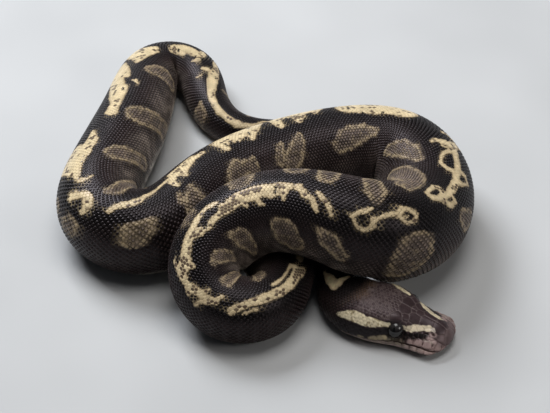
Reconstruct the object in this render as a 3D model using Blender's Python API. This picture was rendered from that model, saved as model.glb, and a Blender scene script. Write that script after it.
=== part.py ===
# Coiled ball python, life size, lying on the floor with its head drawn out to the front right.
# The whole animal is one tube of changing section carried along one smooth path from the snout to
# the tail tip, and parted into named lengths. Sizes here are millimetres; meshes are made in metres.

import math

import bpy
import numpy as np
from mathutils import Vector

MM = 0.001
GAP = 0.3                # clear space between two neighbouring solids
REST_HEIGHT = 0.92       # height of the middle of the body over its belly, in radii
BEND_LIMIT = 0.86        # how far the inside of a bend fills the space to the bend's centre
PRESS_BLEND = 0.8        # width over which a pressed flat turns into the round of the body
FOLD_REACH = 3.2         # lengths nearer than this many radii along the body are not neighbours
SPINE_STEP = 0.5         # spacing of the worked-out points along the path
SPINE_SMOOTH = 3.5       # width of the smoothing along the path
CENTRE = (-2.6, 12.0)    # middle of the finished animal's outline, which becomes the origin

# The middle of the body as it lies: x, y and how far the belly is lifted off the floor.
HEAD_AND_NECK = [(44.2, -43.9, 0), (32, -37.7, 0), (21, -32.5, 0), (16.2, -27, 0), (15.5, -19.5, 0),
                 (10, -13.5, 0), (3, -16.5, 0), (2, -25, 0)]
FRONT_LOOP = [(1, -33, 0), (-5, -39, 0), (-13.5, -37.5, 0), (-18.5, -29, 5), (-12, -20, 10)]
FRONT_RUN = [(0, -17, 12), (11.5, -19, 11.5), (22, -20.8, 9), (31, -18.3, 5)]
RIGHT_TURN = [(37.5, -10.5, 1), (40.5, 0, 0), (39, 11, 0), (33, 19, 0), (22, 21, 0)]
BACK_RUN = [(6, 17.5, 0), (-10, 9.5, 0), (-19, 1, 0), (-25, -7, 0), (-32, -12, 0)]
LEFT_TURN = [(-40.5, -11, 0), (-46.5, -4, 0), (-46.5, 7, 0), (-43, 21.5, 0), (-38.5, 42, 0)]
TOP_TURN = [(-37, 55, 0), (-35, 62.5, 0), (-29.3, 66, 0), (-23.3, 63, 0), (-20.3, 54, 0)]
TAIL = [(-17, 44, 0), (-10, 38, 0), (0, 39.5, 0), (13, 46, 0)]
ROUTE = HEAD_AND_NECK + FRONT_LOOP + FRONT_RUN + RIGHT_TURN + BACK_RUN + LEFT_TURN + TOP_TURN + TAIL

# Distance from the snout and radius of the round body there.
GIRTH = [(38, 4.7), (50, 5.0), (58, 6.3), (66, 7.3), (78, 8.3), (90, 8.8), (105, 9.3), (120, 10.2),
         (140, 11.6), (155, 12.4), (200, 12.3), (235, 11.6), (275, 11.2), (305, 10.9), (330, 10.3),
         (350, 9.3), (370, 6.9), (384, 6.2), (396, 5.5), (406, 4.6), (414, 3.5), (422, 2.3), (430, 1.0)]

# The head: distance from the snout, half width, heights over the floor of the lips, the crown and
# the chin, width of the crown as a share of the width at the lips, and squareness of the section.
HEAD_SHAPE = [(0, 7.2, 2.5, 6.2, 0.3, 0.38, 2.2),
              (4.5, 7.7, 2.3, 6.8, 0.0, 0.38, 2.1),
              (8, 7.6, 2.3, 7.6, 0.0, 0.46, 2.2),
              (11, 7.7, 2.5, 8.6, 0.0, 0.68, 2.6),
              (13.5, 7.9, 2.7, 9.3, 0.0, 0.80, 2.9),
              (17, 9.0, 3.0, 10.1, 0.0, 0.90, 2.8),
              (21, 9.8, 3.4, 10.7, 0.0, 0.93, 2.6),
              (25, 9.9, 3.8, 10.6, 0.0, 0.94, 2.4),
              (29, 8.6, 4.2, 10.2, -0.2, 0.96, 2.2),
              (33, 6.5, 4.3, 9.4, -0.4, 1.00, 2.0)]
HEAD_SMOOTH = 1.5
NECK_START = 38.0        # from here back the section is round
SNOUT_ROUND = 4.5        # length over which the blunt snout closes
BROW = (13.0, 38.0, 0.55)          # distance from the snout, angle from the top and height of the ridge
BROW_REACH = (2.6, 16.0)           # half length in mm and half width in degrees of that ridge
# where a raised length droops, and where the neck under it is spread: distance from the snout, reach, and
# what is added to the lower half's height or to the width, as a share
SAGS = [(110.0, 7.0, 0.75), (150.0, 8.0, 0.30)]
SPREADS = [(56.5, 6.0, 0.9)]
MOUTH_LINE = [(0, 1.9), (6, 1.9), (12, 2.2), (19, 2.5), (26, 3.0)]
LEAST_SHARE = 0.12       # least share of a section's height that stays on the far side of that line
JAW_END = 24.0
HEAD_END = 30.0

EYE_PLACE = (13.5, 5.0, 5.0)       # distance from the snout, out from the middle, over the floor
EYE_RADIUS = 2.1

# Where each length of the body ends, behind the head.
LENGTHS = [("neck_front", 45), ("neck_back", 60), ("trunk_01", 76), ("trunk_02", 94), ("trunk_03", 110),
           ("trunk_04", 138), ("trunk_05", 162), ("trunk_06", 190), ("trunk_07", 211), ("trunk_08", 248),
           ("trunk_09", 274), ("trunk_10", 292), ("trunk_11", 320), ("trunk_12", 352), ("trunk_13", 367),
           ("trunk_14", 382), ("tail_base", 403), ("tail_tip", None)]
RING_STEP = 3.8          # spacing of the faceted rings on the body
RING_SIDES = 24
HEAD_STEP = 1.35
HEAD_TOP_SIDES = 18      # facets over the crown, from lip to lip
HEAD_LOW_SIDES = 10      # facets under the chin, from lip to lip

COLOURS = {"body": (0.055, 0.045, 0.042), "head": (0.11, 0.075, 0.068), "jaw": (0.42, 0.33, 0.30),
           "eye": (0.008, 0.008, 0.010)}


def clear_scene():
    for item in list(bpy.data.objects):
        bpy.data.objects.remove(item, do_unlink=True)


def make_material(name, colour, roughness):
    material = bpy.data.materials.new(name)
    material.use_nodes = True
    shader = material.node_tree.nodes["Principled BSDF"]
    shader.inputs["Base Color"].default_value = (*colour, 1.0)
    shader.inputs["Roughness"].default_value = roughness
    shader.inputs["Metallic"].default_value = 0.0
    material.diffuse_color = (*colour, 1.0)
    return material


# ---- the path of the body

def natural_spline(knots, values, at):
    """Cubic curve through the values at the knots, with no bend at its two ends."""
    step = np.diff(knots)
    count = len(knots)
    system = np.eye(count)
    right = np.zeros((count, values.shape[1]))
    for i in range(1, count - 1):
        system[i, i - 1:i + 2] = step[i - 1], 2 * (step[i - 1] + step[i]), step[i]
        right[i] = 6 * ((values[i + 1] - values[i]) / step[i] - (values[i] - values[i - 1]) / step[i - 1])
    bend = np.linalg.solve(system, right)
    i = np.clip(np.searchsorted(knots, at) - 1, 0, count - 2)
    ahead = (knots[i + 1] - at)[:, None]
    behind = (at - knots[i])[:, None]
    width = step[i][:, None]
    curve = (bend[i] * ahead ** 3 + bend[i + 1] * behind ** 3) / (6 * width)
    curve += (values[i] / width - bend[i] * width / 6) * ahead
    return curve + (values[i + 1] / width - bend[i + 1] * width / 6) * behind


def run_length(points):
    return np.concatenate([[0.0], np.cumsum(np.linalg.norm(np.diff(points, axis=0), axis=1))])


def smooth_along(values, step, width):
    """Each row replaced by a bell-weighted mean of its neighbours; the ends carry straight on."""
    reach = int(math.ceil(3 * width / step))
    bell = np.exp(-0.5 * (np.arange(-reach, reach + 1) * step / width) ** 2)
    bell /= bell.sum()
    before = 2 * values[:1] - values[1:reach + 1][::-1]
    after = 2 * values[-1:] - values[-reach - 1:-1][::-1]
    padded = np.concatenate([before, values, after])
    return np.column_stack([np.convolve(padded[:, k], bell, "valid") for k in range(values.shape[1])])


def radius_at(distance):
    table = np.array(GIRTH, float)
    return np.interp(distance, table[:, 0], table[:, 1])


def lay_spine():
    """Middle line of the body at even steps: place, direction, side, up, bend and radius."""
    points = np.array(ROUTE, float)
    points[:, :2] -= CENTRE
    chords = np.linalg.norm(np.diff(points[:, :2], axis=0), axis=1)
    knots = np.concatenate([[0.0], np.cumsum(chords ** 0.75)])
    dense = natural_spline(knots, points, np.linspace(0, knots[-1], 4000))
    distance = run_length(dense[:, :2])
    for _ in range(3):
        height = REST_HEIGHT * radius_at(distance) + np.maximum(dense[:, 2], 0)
        line = np.column_stack([dense[:, :2], height])
        distance = run_length(line)
    even = np.arange(0, distance[-1], SPINE_STEP)
    line = np.column_stack([np.interp(even, distance, line[:, k]) for k in range(3)])
    line = smooth_along(line, SPINE_STEP, SPINE_SMOOTH)
    distance = run_length(line)
    radius = smooth_along(radius_at(distance)[:, None], SPINE_STEP, SPINE_SMOOTH)[:, 0]
    ahead = np.gradient(line, distance, axis=0)
    ahead /= np.linalg.norm(ahead, axis=1)[:, None]
    bend = np.gradient(ahead, distance, axis=0)
    side = np.cross(ahead, [0.0, 0.0, 1.0])
    side /= np.linalg.norm(side, axis=1)[:, None]
    return {"distance": distance, "place": line, "ahead": ahead, "side": side,
            "up": np.cross(side, ahead), "bend": bend, "radius": radius}


def spine_at(spine, distance, key):
    values = spine[key]
    if values.ndim == 1:
        return np.interp(distance, spine["distance"], values)
    return np.column_stack([np.interp(distance, spine["distance"], values[:, k]) for k in range(3)])


# ---- the section of the body

def head_shape(spine, distance):
    """Half width, lip, crown and chin heights from the middle line, crown share and squareness."""
    fine = np.arange(0, NECK_START + 20, 0.25)
    radius = spine_at(spine, fine, "radius")
    middle = spine_at(spine, fine, "place")[:, 2]
    table = np.array(HEAD_SHAPE, float)
    columns = [np.interp(fine, table[:, 0], table[:, k]) for k in range(1, 7)]
    back = fine >= NECK_START
    blend = np.clip((fine - table[-1, 0]) / (NECK_START - table[-1, 0]), 0, 1)
    goals = [radius, middle, middle + radius, middle - radius, np.ones_like(fine), np.full_like(fine, 2.0)]
    for k, goal in enumerate(goals):
        columns[k] = np.where(back, goal, columns[k] * (1 - blend) + goal * blend)
    for k in (1, 2, 3):
        columns[k] = columns[k] - middle
    shape = smooth_along(np.column_stack(columns), 0.25, HEAD_SMOOTH)
    shape = np.column_stack([np.interp(distance, fine, shape[:, k]) for k in range(6)])
    radius = spine_at(spine, distance, "radius")
    plain = np.column_stack([radius, 0 * radius, radius, -radius, 1 + 0 * radius, 2 + 0 * radius])
    return np.where((distance < NECK_START + 10)[:, None], shape, plain)


def swelling(distance, places):
    """One, and more about each of the given places."""
    return 1 + sum(most * np.exp(-((distance - place) / reach) ** 2) for place, reach, most in places)[:, None]


def raw_outline(spine, distance, angle):
    """Offsets to the side and up for every distance and angle, before anything presses on them."""
    width, lip, crown, chin, share, square = (column[:, None] for column in head_shape(spine, distance).T)
    closing = np.clip(distance / SNOUT_ROUND, 0, 1)[:, None]
    closing = np.sqrt(np.clip(1 - (1 - closing) ** 2, 0, 1))
    across = np.sin(angle)[None, :]
    over = np.cos(angle)[None, :]
    out = np.sign(across) * np.abs(across) ** (2 / square)
    rise = np.sign(over) * np.abs(over) ** (2 / square)
    top = np.clip(rise, 0, 1)
    sideways = width * swelling(distance, SPREADS) * out * (1 - (1 - share) * top) * closing
    downward = -rise * (chin - lip) * swelling(distance, SAGS)
    upward = lip + closing * np.where(rise > 0, rise * (crown - lip), downward)
    ridge = np.exp(-((distance - BROW[0]) / BROW_REACH[0]) ** 2)[:, None]
    turned = np.degrees(np.abs(np.arctan2(across, over)))
    ridge = BROW[2] * ridge * np.exp(-((turned - BROW[1]) / BROW_REACH[1]) ** 2)
    return sideways + ridge * across, upward + ridge * over


def soft_least(first, second, width):
    """The smaller of two values, rounded where they cross."""
    near = np.maximum(width - np.abs(first - second), 0)
    return np.minimum(first, second) - near ** 2 / (4 * width)


def outline(spine, distance, angle):
    """Points of the body's surface: the raw outline, drawn in where the floor, the inside of a bend
    or another length of the body presses on it. Two lengths meet on the plane of equal power."""
    centre = spine_at(spine, distance, "place")
    side = spine_at(spine, distance, "side")
    up = spine_at(spine, distance, "up")
    bend = spine_at(spine, distance, "bend")
    shape = head_shape(spine, distance)
    own = 0.5 * (shape[:, 2] - shape[:, 3])
    sideways, upward = raw_outline(spine, distance, angle)
    ray = sideways[..., None] * side[:, None, :] + upward[..., None] * up[:, None, :]
    reach = np.linalg.norm(ray, axis=2)
    ray /= np.maximum(reach, 1e-9)[..., None]

    toward = np.einsum("rak,rk->ra", ray, bend)
    folded = np.where(toward > 1e-6, BEND_LIMIT / np.maximum(toward, 1e-6), 1e3)

    other = spine["place"][::2]
    other_distance = spine["distance"][::2]
    other_shape = head_shape(spine, other_distance)
    other_radius = 0.5 * (other_shape[:, 2] - other_shape[:, 3])
    pressed = np.full(reach.shape, 1e3)
    for row in range(len(distance)):
        apart = np.abs(other_distance - distance[row])
        far = apart > FOLD_REACH * np.maximum(other_radius, own[row])
        across = other[far] - centre[row]
        span = np.linalg.norm(across, axis=1)
        close = span < 2.6 * (other_radius[far] + own[row])
        if not close.any():
            continue
        across = across[close]
        span = span[close]
        rim = other_radius[far][close]
        plane = (span ** 2 + own[row] ** 2 - rim ** 2) / (2 * span) - 0.6 * GAP
        along = ray[row] @ (across / span[:, None]).T
        limit = np.where(along > 1e-3, plane[None, :] / np.maximum(along, 1e-3), 1e3)
        pressed[row] = np.maximum(limit.min(axis=1), 0.2)

    reach = soft_least(reach, folded, PRESS_BLEND)
    reach = soft_least(reach, pressed, PRESS_BLEND)
    falling = -ray[..., 2]
    floor = np.where(falling > 1e-6, centre[:, None, 2] / np.maximum(falling, 1e-6), 1e3)
    reach = np.minimum(reach, floor)
    return centre[:, None, :] + reach[..., None] * ray


# ---- solids

def add_solid(name, rings, material, smooth_angle=40.0):
    """A closed tube from rings of points, with flat ends, as one object."""
    count, sides = rings.shape[:2]
    points = rings.reshape(-1, 3) * MM
    faces = []
    for row in range(count - 1):
        for k in range(sides):
            here = row * sides + k
            beside = row * sides + (k + 1) % sides
            faces.append((here, beside, beside + sides, here + sides))
    faces.append(tuple(reversed(range(sides))))
    faces.append(tuple(range((count - 1) * sides, count * sides)))
    mesh = bpy.data.meshes.new(name)
    mesh.from_pydata([tuple(p) for p in points], [], faces)
    mesh.materials.append(material)
    mesh.update()
    mesh.shade_smooth()
    mesh.set_sharp_from_angle(angle=math.radians(smooth_angle))
    item = bpy.data.objects.new(name, mesh)
    bpy.context.collection.objects.link(item)
    return item


def ring_places(start, end, step):
    return np.linspace(start, end, max(2, int(round((end - start) / step)) + 1))


def body_length(name, spine, start, end, material):
    angle = np.linspace(0, 2 * math.pi, RING_SIDES, endpoint=False)
    places = ring_places(start + GAP / 2, end - GAP / 2, RING_STEP)
    return add_solid(name, outline(spine, places, angle), material)


def mouth_height(distance):
    table = np.array(MOUTH_LINE, float)
    return np.interp(distance, table[:, 0], table[:, 1])


def spread(points, count, keep_last):
    """The given polyline cut into even steps."""
    length = run_length(points)
    even = np.linspace(0, length[-1], count + 1)
    if not keep_last:
        even = even[:-1]
    return np.column_stack([np.interp(even, length, points[:, k]) for k in range(3)])


def parted_ring(ring, height, part):
    """One section of the head: over the mouth line, under it, or whole, with the same count of points."""
    low, high = ring[:, 2].min(), ring[:, 2].max()
    line = height
    if part == "upper":
        line = max(height + GAP / 2, low + LEAST_SHARE * (high - low))
    if part == "lower":
        line = min(height - GAP / 2, high - LEAST_SHARE * (high - low))
    half = len(ring) // 2
    left = ring[:half + 1]
    right = np.vstack([ring[half:], ring[:1]])
    level_left = np.argmax(left[:, 2] < line)
    level_right = len(right) - 1 - np.argmax(right[::-1, 2] < line)
    share = (left[level_left - 1, 2] - line) / (left[level_left - 1, 2] - left[level_left, 2])
    lip_left = left[level_left - 1] + share * (left[level_left] - left[level_left - 1])
    share = (right[level_right + 1, 2] - line) / (right[level_right + 1, 2] - right[level_right, 2])
    lip_right = right[level_right + 1] + share * (right[level_right] - right[level_right + 1])
    over = np.vstack([[lip_right], right[level_right + 1:], left[1:level_left], [lip_left]])
    under = np.vstack([[lip_left], left[level_left:], right[1:level_right + 1], [lip_right]])
    if part == "upper":
        under = np.vstack([[lip_left], [lip_right]])
    if part == "lower":
        over = np.vstack([[lip_right], [lip_left]])
    return np.vstack([spread(over, HEAD_TOP_SIDES, False), spread(under, HEAD_LOW_SIDES, False)])


def head_rings(spine, places, part):
    angle = np.linspace(0, 2 * math.pi, 240, endpoint=False)
    rings = outline(spine, places, angle)
    return np.array([parted_ring(ring, mouth_height(place), part) for ring, place in zip(rings, places)])


def head_solid(spine, material):
    snout = np.array([0.12, 0.5, 1.1, 2.0, 3.1])
    over_mouth = np.concatenate([snout, ring_places(4.4, JAW_END, HEAD_STEP)])
    behind = ring_places(JAW_END + 2 * GAP, HEAD_END - GAP / 2, HEAD_STEP)
    rings = np.concatenate([head_rings(spine, over_mouth, "upper"), head_rings(spine, behind, "whole")])
    return add_solid("head", rings, material)


def jaw_solid(spine, material):
    places = np.concatenate([[0.5, 1.1, 2.0, 3.1], ring_places(4.4, JAW_END - GAP, HEAD_STEP)])
    return add_solid("lower_jaw", head_rings(spine, places, "lower"), material)


def eye_centre(spine, hand):
    distance, out, height = EYE_PLACE
    place = spine_at(spine, np.array([distance]), "place")[0]
    side = spine_at(spine, np.array([distance]), "side")[0]
    centre = place + hand * out * side
    return Vector((centre[0], centre[1], height)) * MM


def ball(name, centre, radius, segments, rings):
    bpy.ops.mesh.primitive_uv_sphere_add(segments=segments, ring_count=rings, radius=radius * MM,
                                         location=centre)
    item = bpy.context.object
    item.name = name
    item.data.name = name
    item.data.shade_smooth()
    return item


def cut_socket(head, centre, name):
    """The eye's hollow in the head, one clear gap wider than the eye."""
    cutter = ball(name, centre, EYE_RADIUS + GAP, 20, 12)
    cutter.hide_render = True
    cutter.display_type = "WIRE"
    hollow = head.modifiers.new(name, "BOOLEAN")
    hollow.operation = "DIFFERENCE"
    hollow.object = cutter


def build():
    clear_scene()
    body = make_material("body_scales", COLOURS["body"], 0.42)
    crown = make_material("head_scales", COLOURS["head"], 0.40)
    lips = make_material("jaw_scales", COLOURS["jaw"], 0.45)
    eye = make_material("eye_spectacle", COLOURS["eye"], 0.06)
    spine = lay_spine()
    head = head_solid(spine, crown)
    jaw_solid(spine, lips)
    for name, hand in (("eye_left", 1), ("eye_right", -1)):
        centre = eye_centre(spine, hand)
        ball(name, centre, EYE_RADIUS, 18, 12).data.materials.append(eye)
        cut_socket(head, centre, name.replace("eye", "socket"))
    start = HEAD_END
    for name, end in LENGTHS:
        stop = spine["distance"][-1] if end is None else end
        body_length(name, spine, start, stop, body)
        start = stop


build()
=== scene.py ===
import math

import bpy
import numpy as np
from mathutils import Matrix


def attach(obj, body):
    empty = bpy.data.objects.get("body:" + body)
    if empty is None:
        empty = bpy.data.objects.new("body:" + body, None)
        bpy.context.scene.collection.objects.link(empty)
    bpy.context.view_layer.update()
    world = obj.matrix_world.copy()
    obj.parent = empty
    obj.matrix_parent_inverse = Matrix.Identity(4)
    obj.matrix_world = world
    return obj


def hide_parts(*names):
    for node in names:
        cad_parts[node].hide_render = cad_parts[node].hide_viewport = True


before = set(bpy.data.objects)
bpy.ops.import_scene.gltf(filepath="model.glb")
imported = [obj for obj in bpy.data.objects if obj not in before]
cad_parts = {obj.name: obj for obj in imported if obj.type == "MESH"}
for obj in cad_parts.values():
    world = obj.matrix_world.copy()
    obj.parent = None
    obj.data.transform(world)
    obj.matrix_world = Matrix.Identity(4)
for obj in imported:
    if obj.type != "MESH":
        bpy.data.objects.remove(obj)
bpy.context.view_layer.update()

mm = 0.001               # lengths below are in millimetres, and become metres as they go into a mesh

# the body's path, as in the frame: middle points (x, y, lift of the belly) from the snout to the tail tip
course = {
    "headAndNeck": [(44.2, -43.9, 0), (32, -37.7, 0), (21, -32.5, 0), (16.2, -27, 0), (15.5, -19.5, 0),
                    (10, -13.5, 0), (3, -16.5, 0), (2, -25, 0)],
    "frontLoop": [(1, -33, 0), (-5, -39, 0), (-13.5, -37.5, 0), (-18.5, -29, 5), (-12, -20, 10)],
    "frontRun": [(0, -17, 12), (11.5, -19, 11.5), (22, -20.8, 9), (31, -18.3, 5)],
    "rightTurn": [(37.5, -10.5, 1), (40.5, 0, 0), (39, 11, 0), (33, 19, 0), (22, 21, 0)],
    "backRun": [(6, 17.5, 0), (-10, 9.5, 0), (-19, 1, 0), (-25, -7, 0), (-32, -12, 0)],
    "leftTurn": [(-40.5, -11, 0), (-46.5, -4, 0), (-46.5, 7, 0), (-43, 21.5, 0), (-38.5, 42, 0)],
    "topTurn": [(-37, 55, 0), (-35, 62.5, 0), (-29.3, 66, 0), (-23.3, 63, 0), (-20.3, 54, 0)],
    "tail": [(-17, 44, 0), (-10, 38, 0), (0, 39.5, 0), (13, 46, 0)],
}
build = {
    "centre": (-2.6, 12.0),      # middle of the outline, which is the origin
    "gap": 0.3,                  # clear space between two lengths that press on each other
    "restHeight": 0.92,          # height of the middle over the belly, in radii
    "bendLimit": 0.86,           # how far the inside of a bend fills the space to its centre
    "pressBlend": 0.8,           # width over which a pressed flat turns into the round
    "foldReach": 3.2,            # lengths nearer than this many radii are not neighbours
    "step": 0.5,                 # spacing of the worked-out points
    "smooth": 3.5,               # width of the smoothing along the path
    "headSmooth": 1.5,
    "neckStart": 38.0,           # from here back the section is round
    "snoutRound": 4.5,           # length over which the blunt snout closes
    "tailRound": 1.3,            # length over which the tail tip closes
    "brow": (13.0, 38.0, 0.55),  # distance from the snout, angle from the top, height of the ridge
    "browReach": (2.6, 16.0),
    # where a raised length droops, and where the neck under it is spread: distance, reach and share added
    "sags": [(110.0, 7.0, 0.75), (150.0, 8.0, 0.30)],
    "spreads": [(56.5, 6.0, 0.9)],
}
# distance from the snout and radius of the round body there
girth = [(38, 4.7), (50, 5.0), (58, 6.3), (66, 7.3), (78, 8.3), (90, 8.8), (105, 9.3), (120, 10.2),
         (140, 11.6), (155, 12.4), (200, 12.3), (235, 11.6), (275, 11.2), (305, 10.9), (330, 10.3),
         (350, 9.3), (370, 6.9), (384, 6.2), (396, 5.5), (406, 4.6), (414, 3.5), (422, 2.3), (430, 1.0)]
# distance, half width, heights of lips, crown and chin, crown share and squareness of the section
headForm = [(0, 7.2, 2.5, 6.2, 0.3, 0.38, 2.2), (4.5, 7.7, 2.3, 6.8, 0.0, 0.38, 2.1),
            (8, 7.6, 2.3, 7.6, 0.0, 0.46, 2.2), (11, 7.7, 2.5, 8.6, 0.0, 0.68, 2.6),
            (13.5, 7.9, 2.7, 9.3, 0.0, 0.80, 2.9), (17, 9.0, 3.0, 10.1, 0.0, 0.90, 2.8),
            (21, 9.8, 3.4, 10.7, 0.0, 0.93, 2.6), (25, 9.9, 3.8, 10.6, 0.0, 0.94, 2.4),
            (29, 8.6, 4.2, 10.2, -0.2, 0.96, 2.2), (33, 6.5, 4.3, 9.4, -0.4, 1.00, 2.0)]
# how far the line of the back is turned from the top, in degrees, at distances from the snout
backLine = [(30, 0), (50, -15), (66, -30), (76, -32), (90, -40), (100, -30), (107, -5), (115, 12), (125, 18),
            (138, 30), (148, 40), (160, 36), (175, 38), (188, 35), (205, 22), (240, 21), (258, 20), (272, 8),
            (281, -12), (290, -32), (305, -38), (328, -28), (345, -32), (358, -18), (370, -5), (382, -18),
            (392, 5), (401, 25), (412, -5), (427, 0)]


def smoothStep(low, high, value):
    share = np.clip((value - low) / (high - low), 0, 1)
    return share * share * (3 - 2 * share)


def lerp(first, second, share):
    return first + (second - first) * share


# cubic curve through the values at the knots, with no bend at its two ends
def naturalSpline(knots, values, at):
    step = np.diff(knots)
    count = len(knots)
    system = np.eye(count)
    right = np.zeros((count, values.shape[1]))
    for i in range(1, count - 1):
        system[i, i - 1:i + 2] = step[i - 1], 2 * (step[i - 1] + step[i]), step[i]
        right[i] = 6 * ((values[i + 1] - values[i]) / step[i] - (values[i] - values[i - 1]) / step[i - 1])
    bend = np.linalg.solve(system, right)
    i = np.clip(np.searchsorted(knots, at) - 1, 0, count - 2)
    ahead = (knots[i + 1] - at)[:, None]
    behind = (at - knots[i])[:, None]
    width = step[i][:, None]
    curve = (bend[i] * ahead ** 3 + bend[i + 1] * behind ** 3) / (6 * width)
    curve += (values[i] / width - bend[i] * width / 6) * ahead
    return curve + (values[i + 1] / width - bend[i + 1] * width / 6) * behind


def runLength(points):
    return np.concatenate([[0.0], np.cumsum(np.linalg.norm(np.diff(points, axis=0), axis=1))])


# each row becomes a bell-weighted mean of its neighbours; the ends carry straight on
def smoothAlong(values, step, width):
    reach = int(math.ceil(3 * width / step))
    bell = np.exp(-0.5 * (np.arange(-reach, reach + 1) * step / width) ** 2)
    bell /= bell.sum()
    before = 2 * values[:1] - values[1:reach + 1][::-1]
    after = 2 * values[-1:] - values[-reach - 1:-1][::-1]
    padded = np.concatenate([before, values, after])
    return np.column_stack([np.convolve(padded[:, k], bell, "valid") for k in range(values.shape[1])])


# a column of a table whose rows start with a distance, read between the rows
def readTable(table, distance, column=1):
    rows = np.array(table, float)
    return np.interp(distance, rows[:, 0], rows[:, column])


def radiusAt(distance):
    return readTable(girth, distance)


# middle line of the body at even steps: place, direction, side, up, bend and radius
def laySpine():
    points = np.array([place for stretch in course.values() for place in stretch], float)
    points[:, :2] -= build["centre"]
    chords = np.linalg.norm(np.diff(points[:, :2], axis=0), axis=1)
    knots = np.concatenate([[0.0], np.cumsum(chords ** 0.75)])
    dense = naturalSpline(knots, points, np.linspace(0, knots[-1], 4000))
    distance = runLength(dense[:, :2])
    for _ in range(3):
        height = build["restHeight"] * radiusAt(distance) + np.maximum(dense[:, 2], 0)
        line = np.column_stack([dense[:, :2], height])
        distance = runLength(line)
    even = np.arange(0, distance[-1], build["step"])
    line = np.column_stack([np.interp(even, distance, line[:, k]) for k in range(3)])
    line = smoothAlong(line, build["step"], build["smooth"])
    distance = runLength(line)
    radius = smoothAlong(radiusAt(distance)[:, None], build["step"], build["smooth"])[:, 0]
    ahead = np.gradient(line, distance, axis=0)
    ahead /= np.linalg.norm(ahead, axis=1)[:, None]
    bend = np.gradient(ahead, distance, axis=0)
    side = np.cross(ahead, [0.0, 0.0, 1.0])
    side /= np.linalg.norm(side, axis=1)[:, None]
    return {"distance": distance, "place": line, "ahead": ahead, "side": side,
            "up": np.cross(side, ahead), "bend": bend, "radius": radius}


spine = laySpine()
tailEnd = spine["distance"][-1]


def spineAt(distance, key):
    values = spine[key]
    if values.ndim == 1:
        return np.interp(distance, spine["distance"], values)
    return np.column_stack([np.interp(distance, spine["distance"], values[:, k]) for k in range(3)])


# half width, lip, crown and chin heights from the middle line, crown share and squareness
def headShape(distance):
    step = 0.25
    fine = np.arange(0, build["neckStart"] + 20, step)
    radius = spineAt(fine, "radius")
    middle = spineAt(fine, "place")[:, 2]
    columns = [readTable(headForm, fine, k) for k in range(1, 7)]
    formEnd = headForm[-1][0]
    back = fine >= build["neckStart"]
    blend = np.clip((fine - formEnd) / (build["neckStart"] - formEnd), 0, 1)
    goals = [radius, middle, middle + radius, middle - radius, np.ones_like(fine), np.full_like(fine, 2.0)]
    for k, goal in enumerate(goals):
        columns[k] = np.where(back, goal, columns[k] * (1 - blend) + goal * blend)
    for k in (1, 2, 3):
        columns[k] = columns[k] - middle
    shape = smoothAlong(np.column_stack(columns), step, build["headSmooth"])
    shape = np.column_stack([np.interp(distance, fine, shape[:, k]) for k in range(6)])
    radius = spineAt(distance, "radius")
    plain = np.column_stack([radius, 0 * radius, radius, -radius, 1 + 0 * radius, 2 + 0 * radius])
    return np.where((distance < build["neckStart"] + 10)[:, None], shape, plain)


# one, and more about each of the given places
def swelling(distance, places):
    added = sum(most * np.exp(-((distance - place) / reach) ** 2) for place, reach, most in places)
    return 1 + added[:, None]


# offsets to the side and up at every distance and angle: a rounded square of changing width and
# height, closed at the snout and the tail by a quarter round, with a ridge over each eye
def rawOutline(distance, angle):
    width, lip, crown, chin, share, square = (column[:, None] for column in headShape(distance).T)
    closing = np.clip(distance / build["snoutRound"], 0, 1)[:, None]
    closing = np.sqrt(np.clip(1 - (1 - closing) ** 2, 0, 1))
    tip = np.clip((tailEnd - distance) / build["tailRound"], 0, 1)[:, None]
    closing = closing * np.sqrt(np.clip(1 - (1 - tip) ** 2, 0, 1))
    across = np.sin(angle)
    over = np.cos(angle)
    out = np.sign(across) * np.abs(across) ** (2 / square)
    rise = np.sign(over) * np.abs(over) ** (2 / square)
    top = np.clip(rise, 0, 1)
    sideways = width * swelling(distance, build["spreads"]) * out * (1 - (1 - share) * top) * closing
    downward = -rise * (chin - lip) * swelling(distance, build["sags"])
    upward = lip + closing * np.where(rise > 0, rise * (crown - lip), downward)
    place, turn, height = build["brow"]
    ridge = height * np.exp(-((distance - place) / build["browReach"][0]) ** 2)[:, None]
    turned = np.degrees(np.abs(np.arctan2(across, over)))
    ridge = ridge * np.exp(-((turned - turn) / build["browReach"][1]) ** 2)
    return sideways + ridge * across, upward + ridge * over


# the smaller of two values, rounded where they cross
def softLeast(first, second, width):
    near = np.maximum(width - np.abs(first - second), 0)
    return np.minimum(first, second) - near ** 2 / (4 * width)


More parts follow.
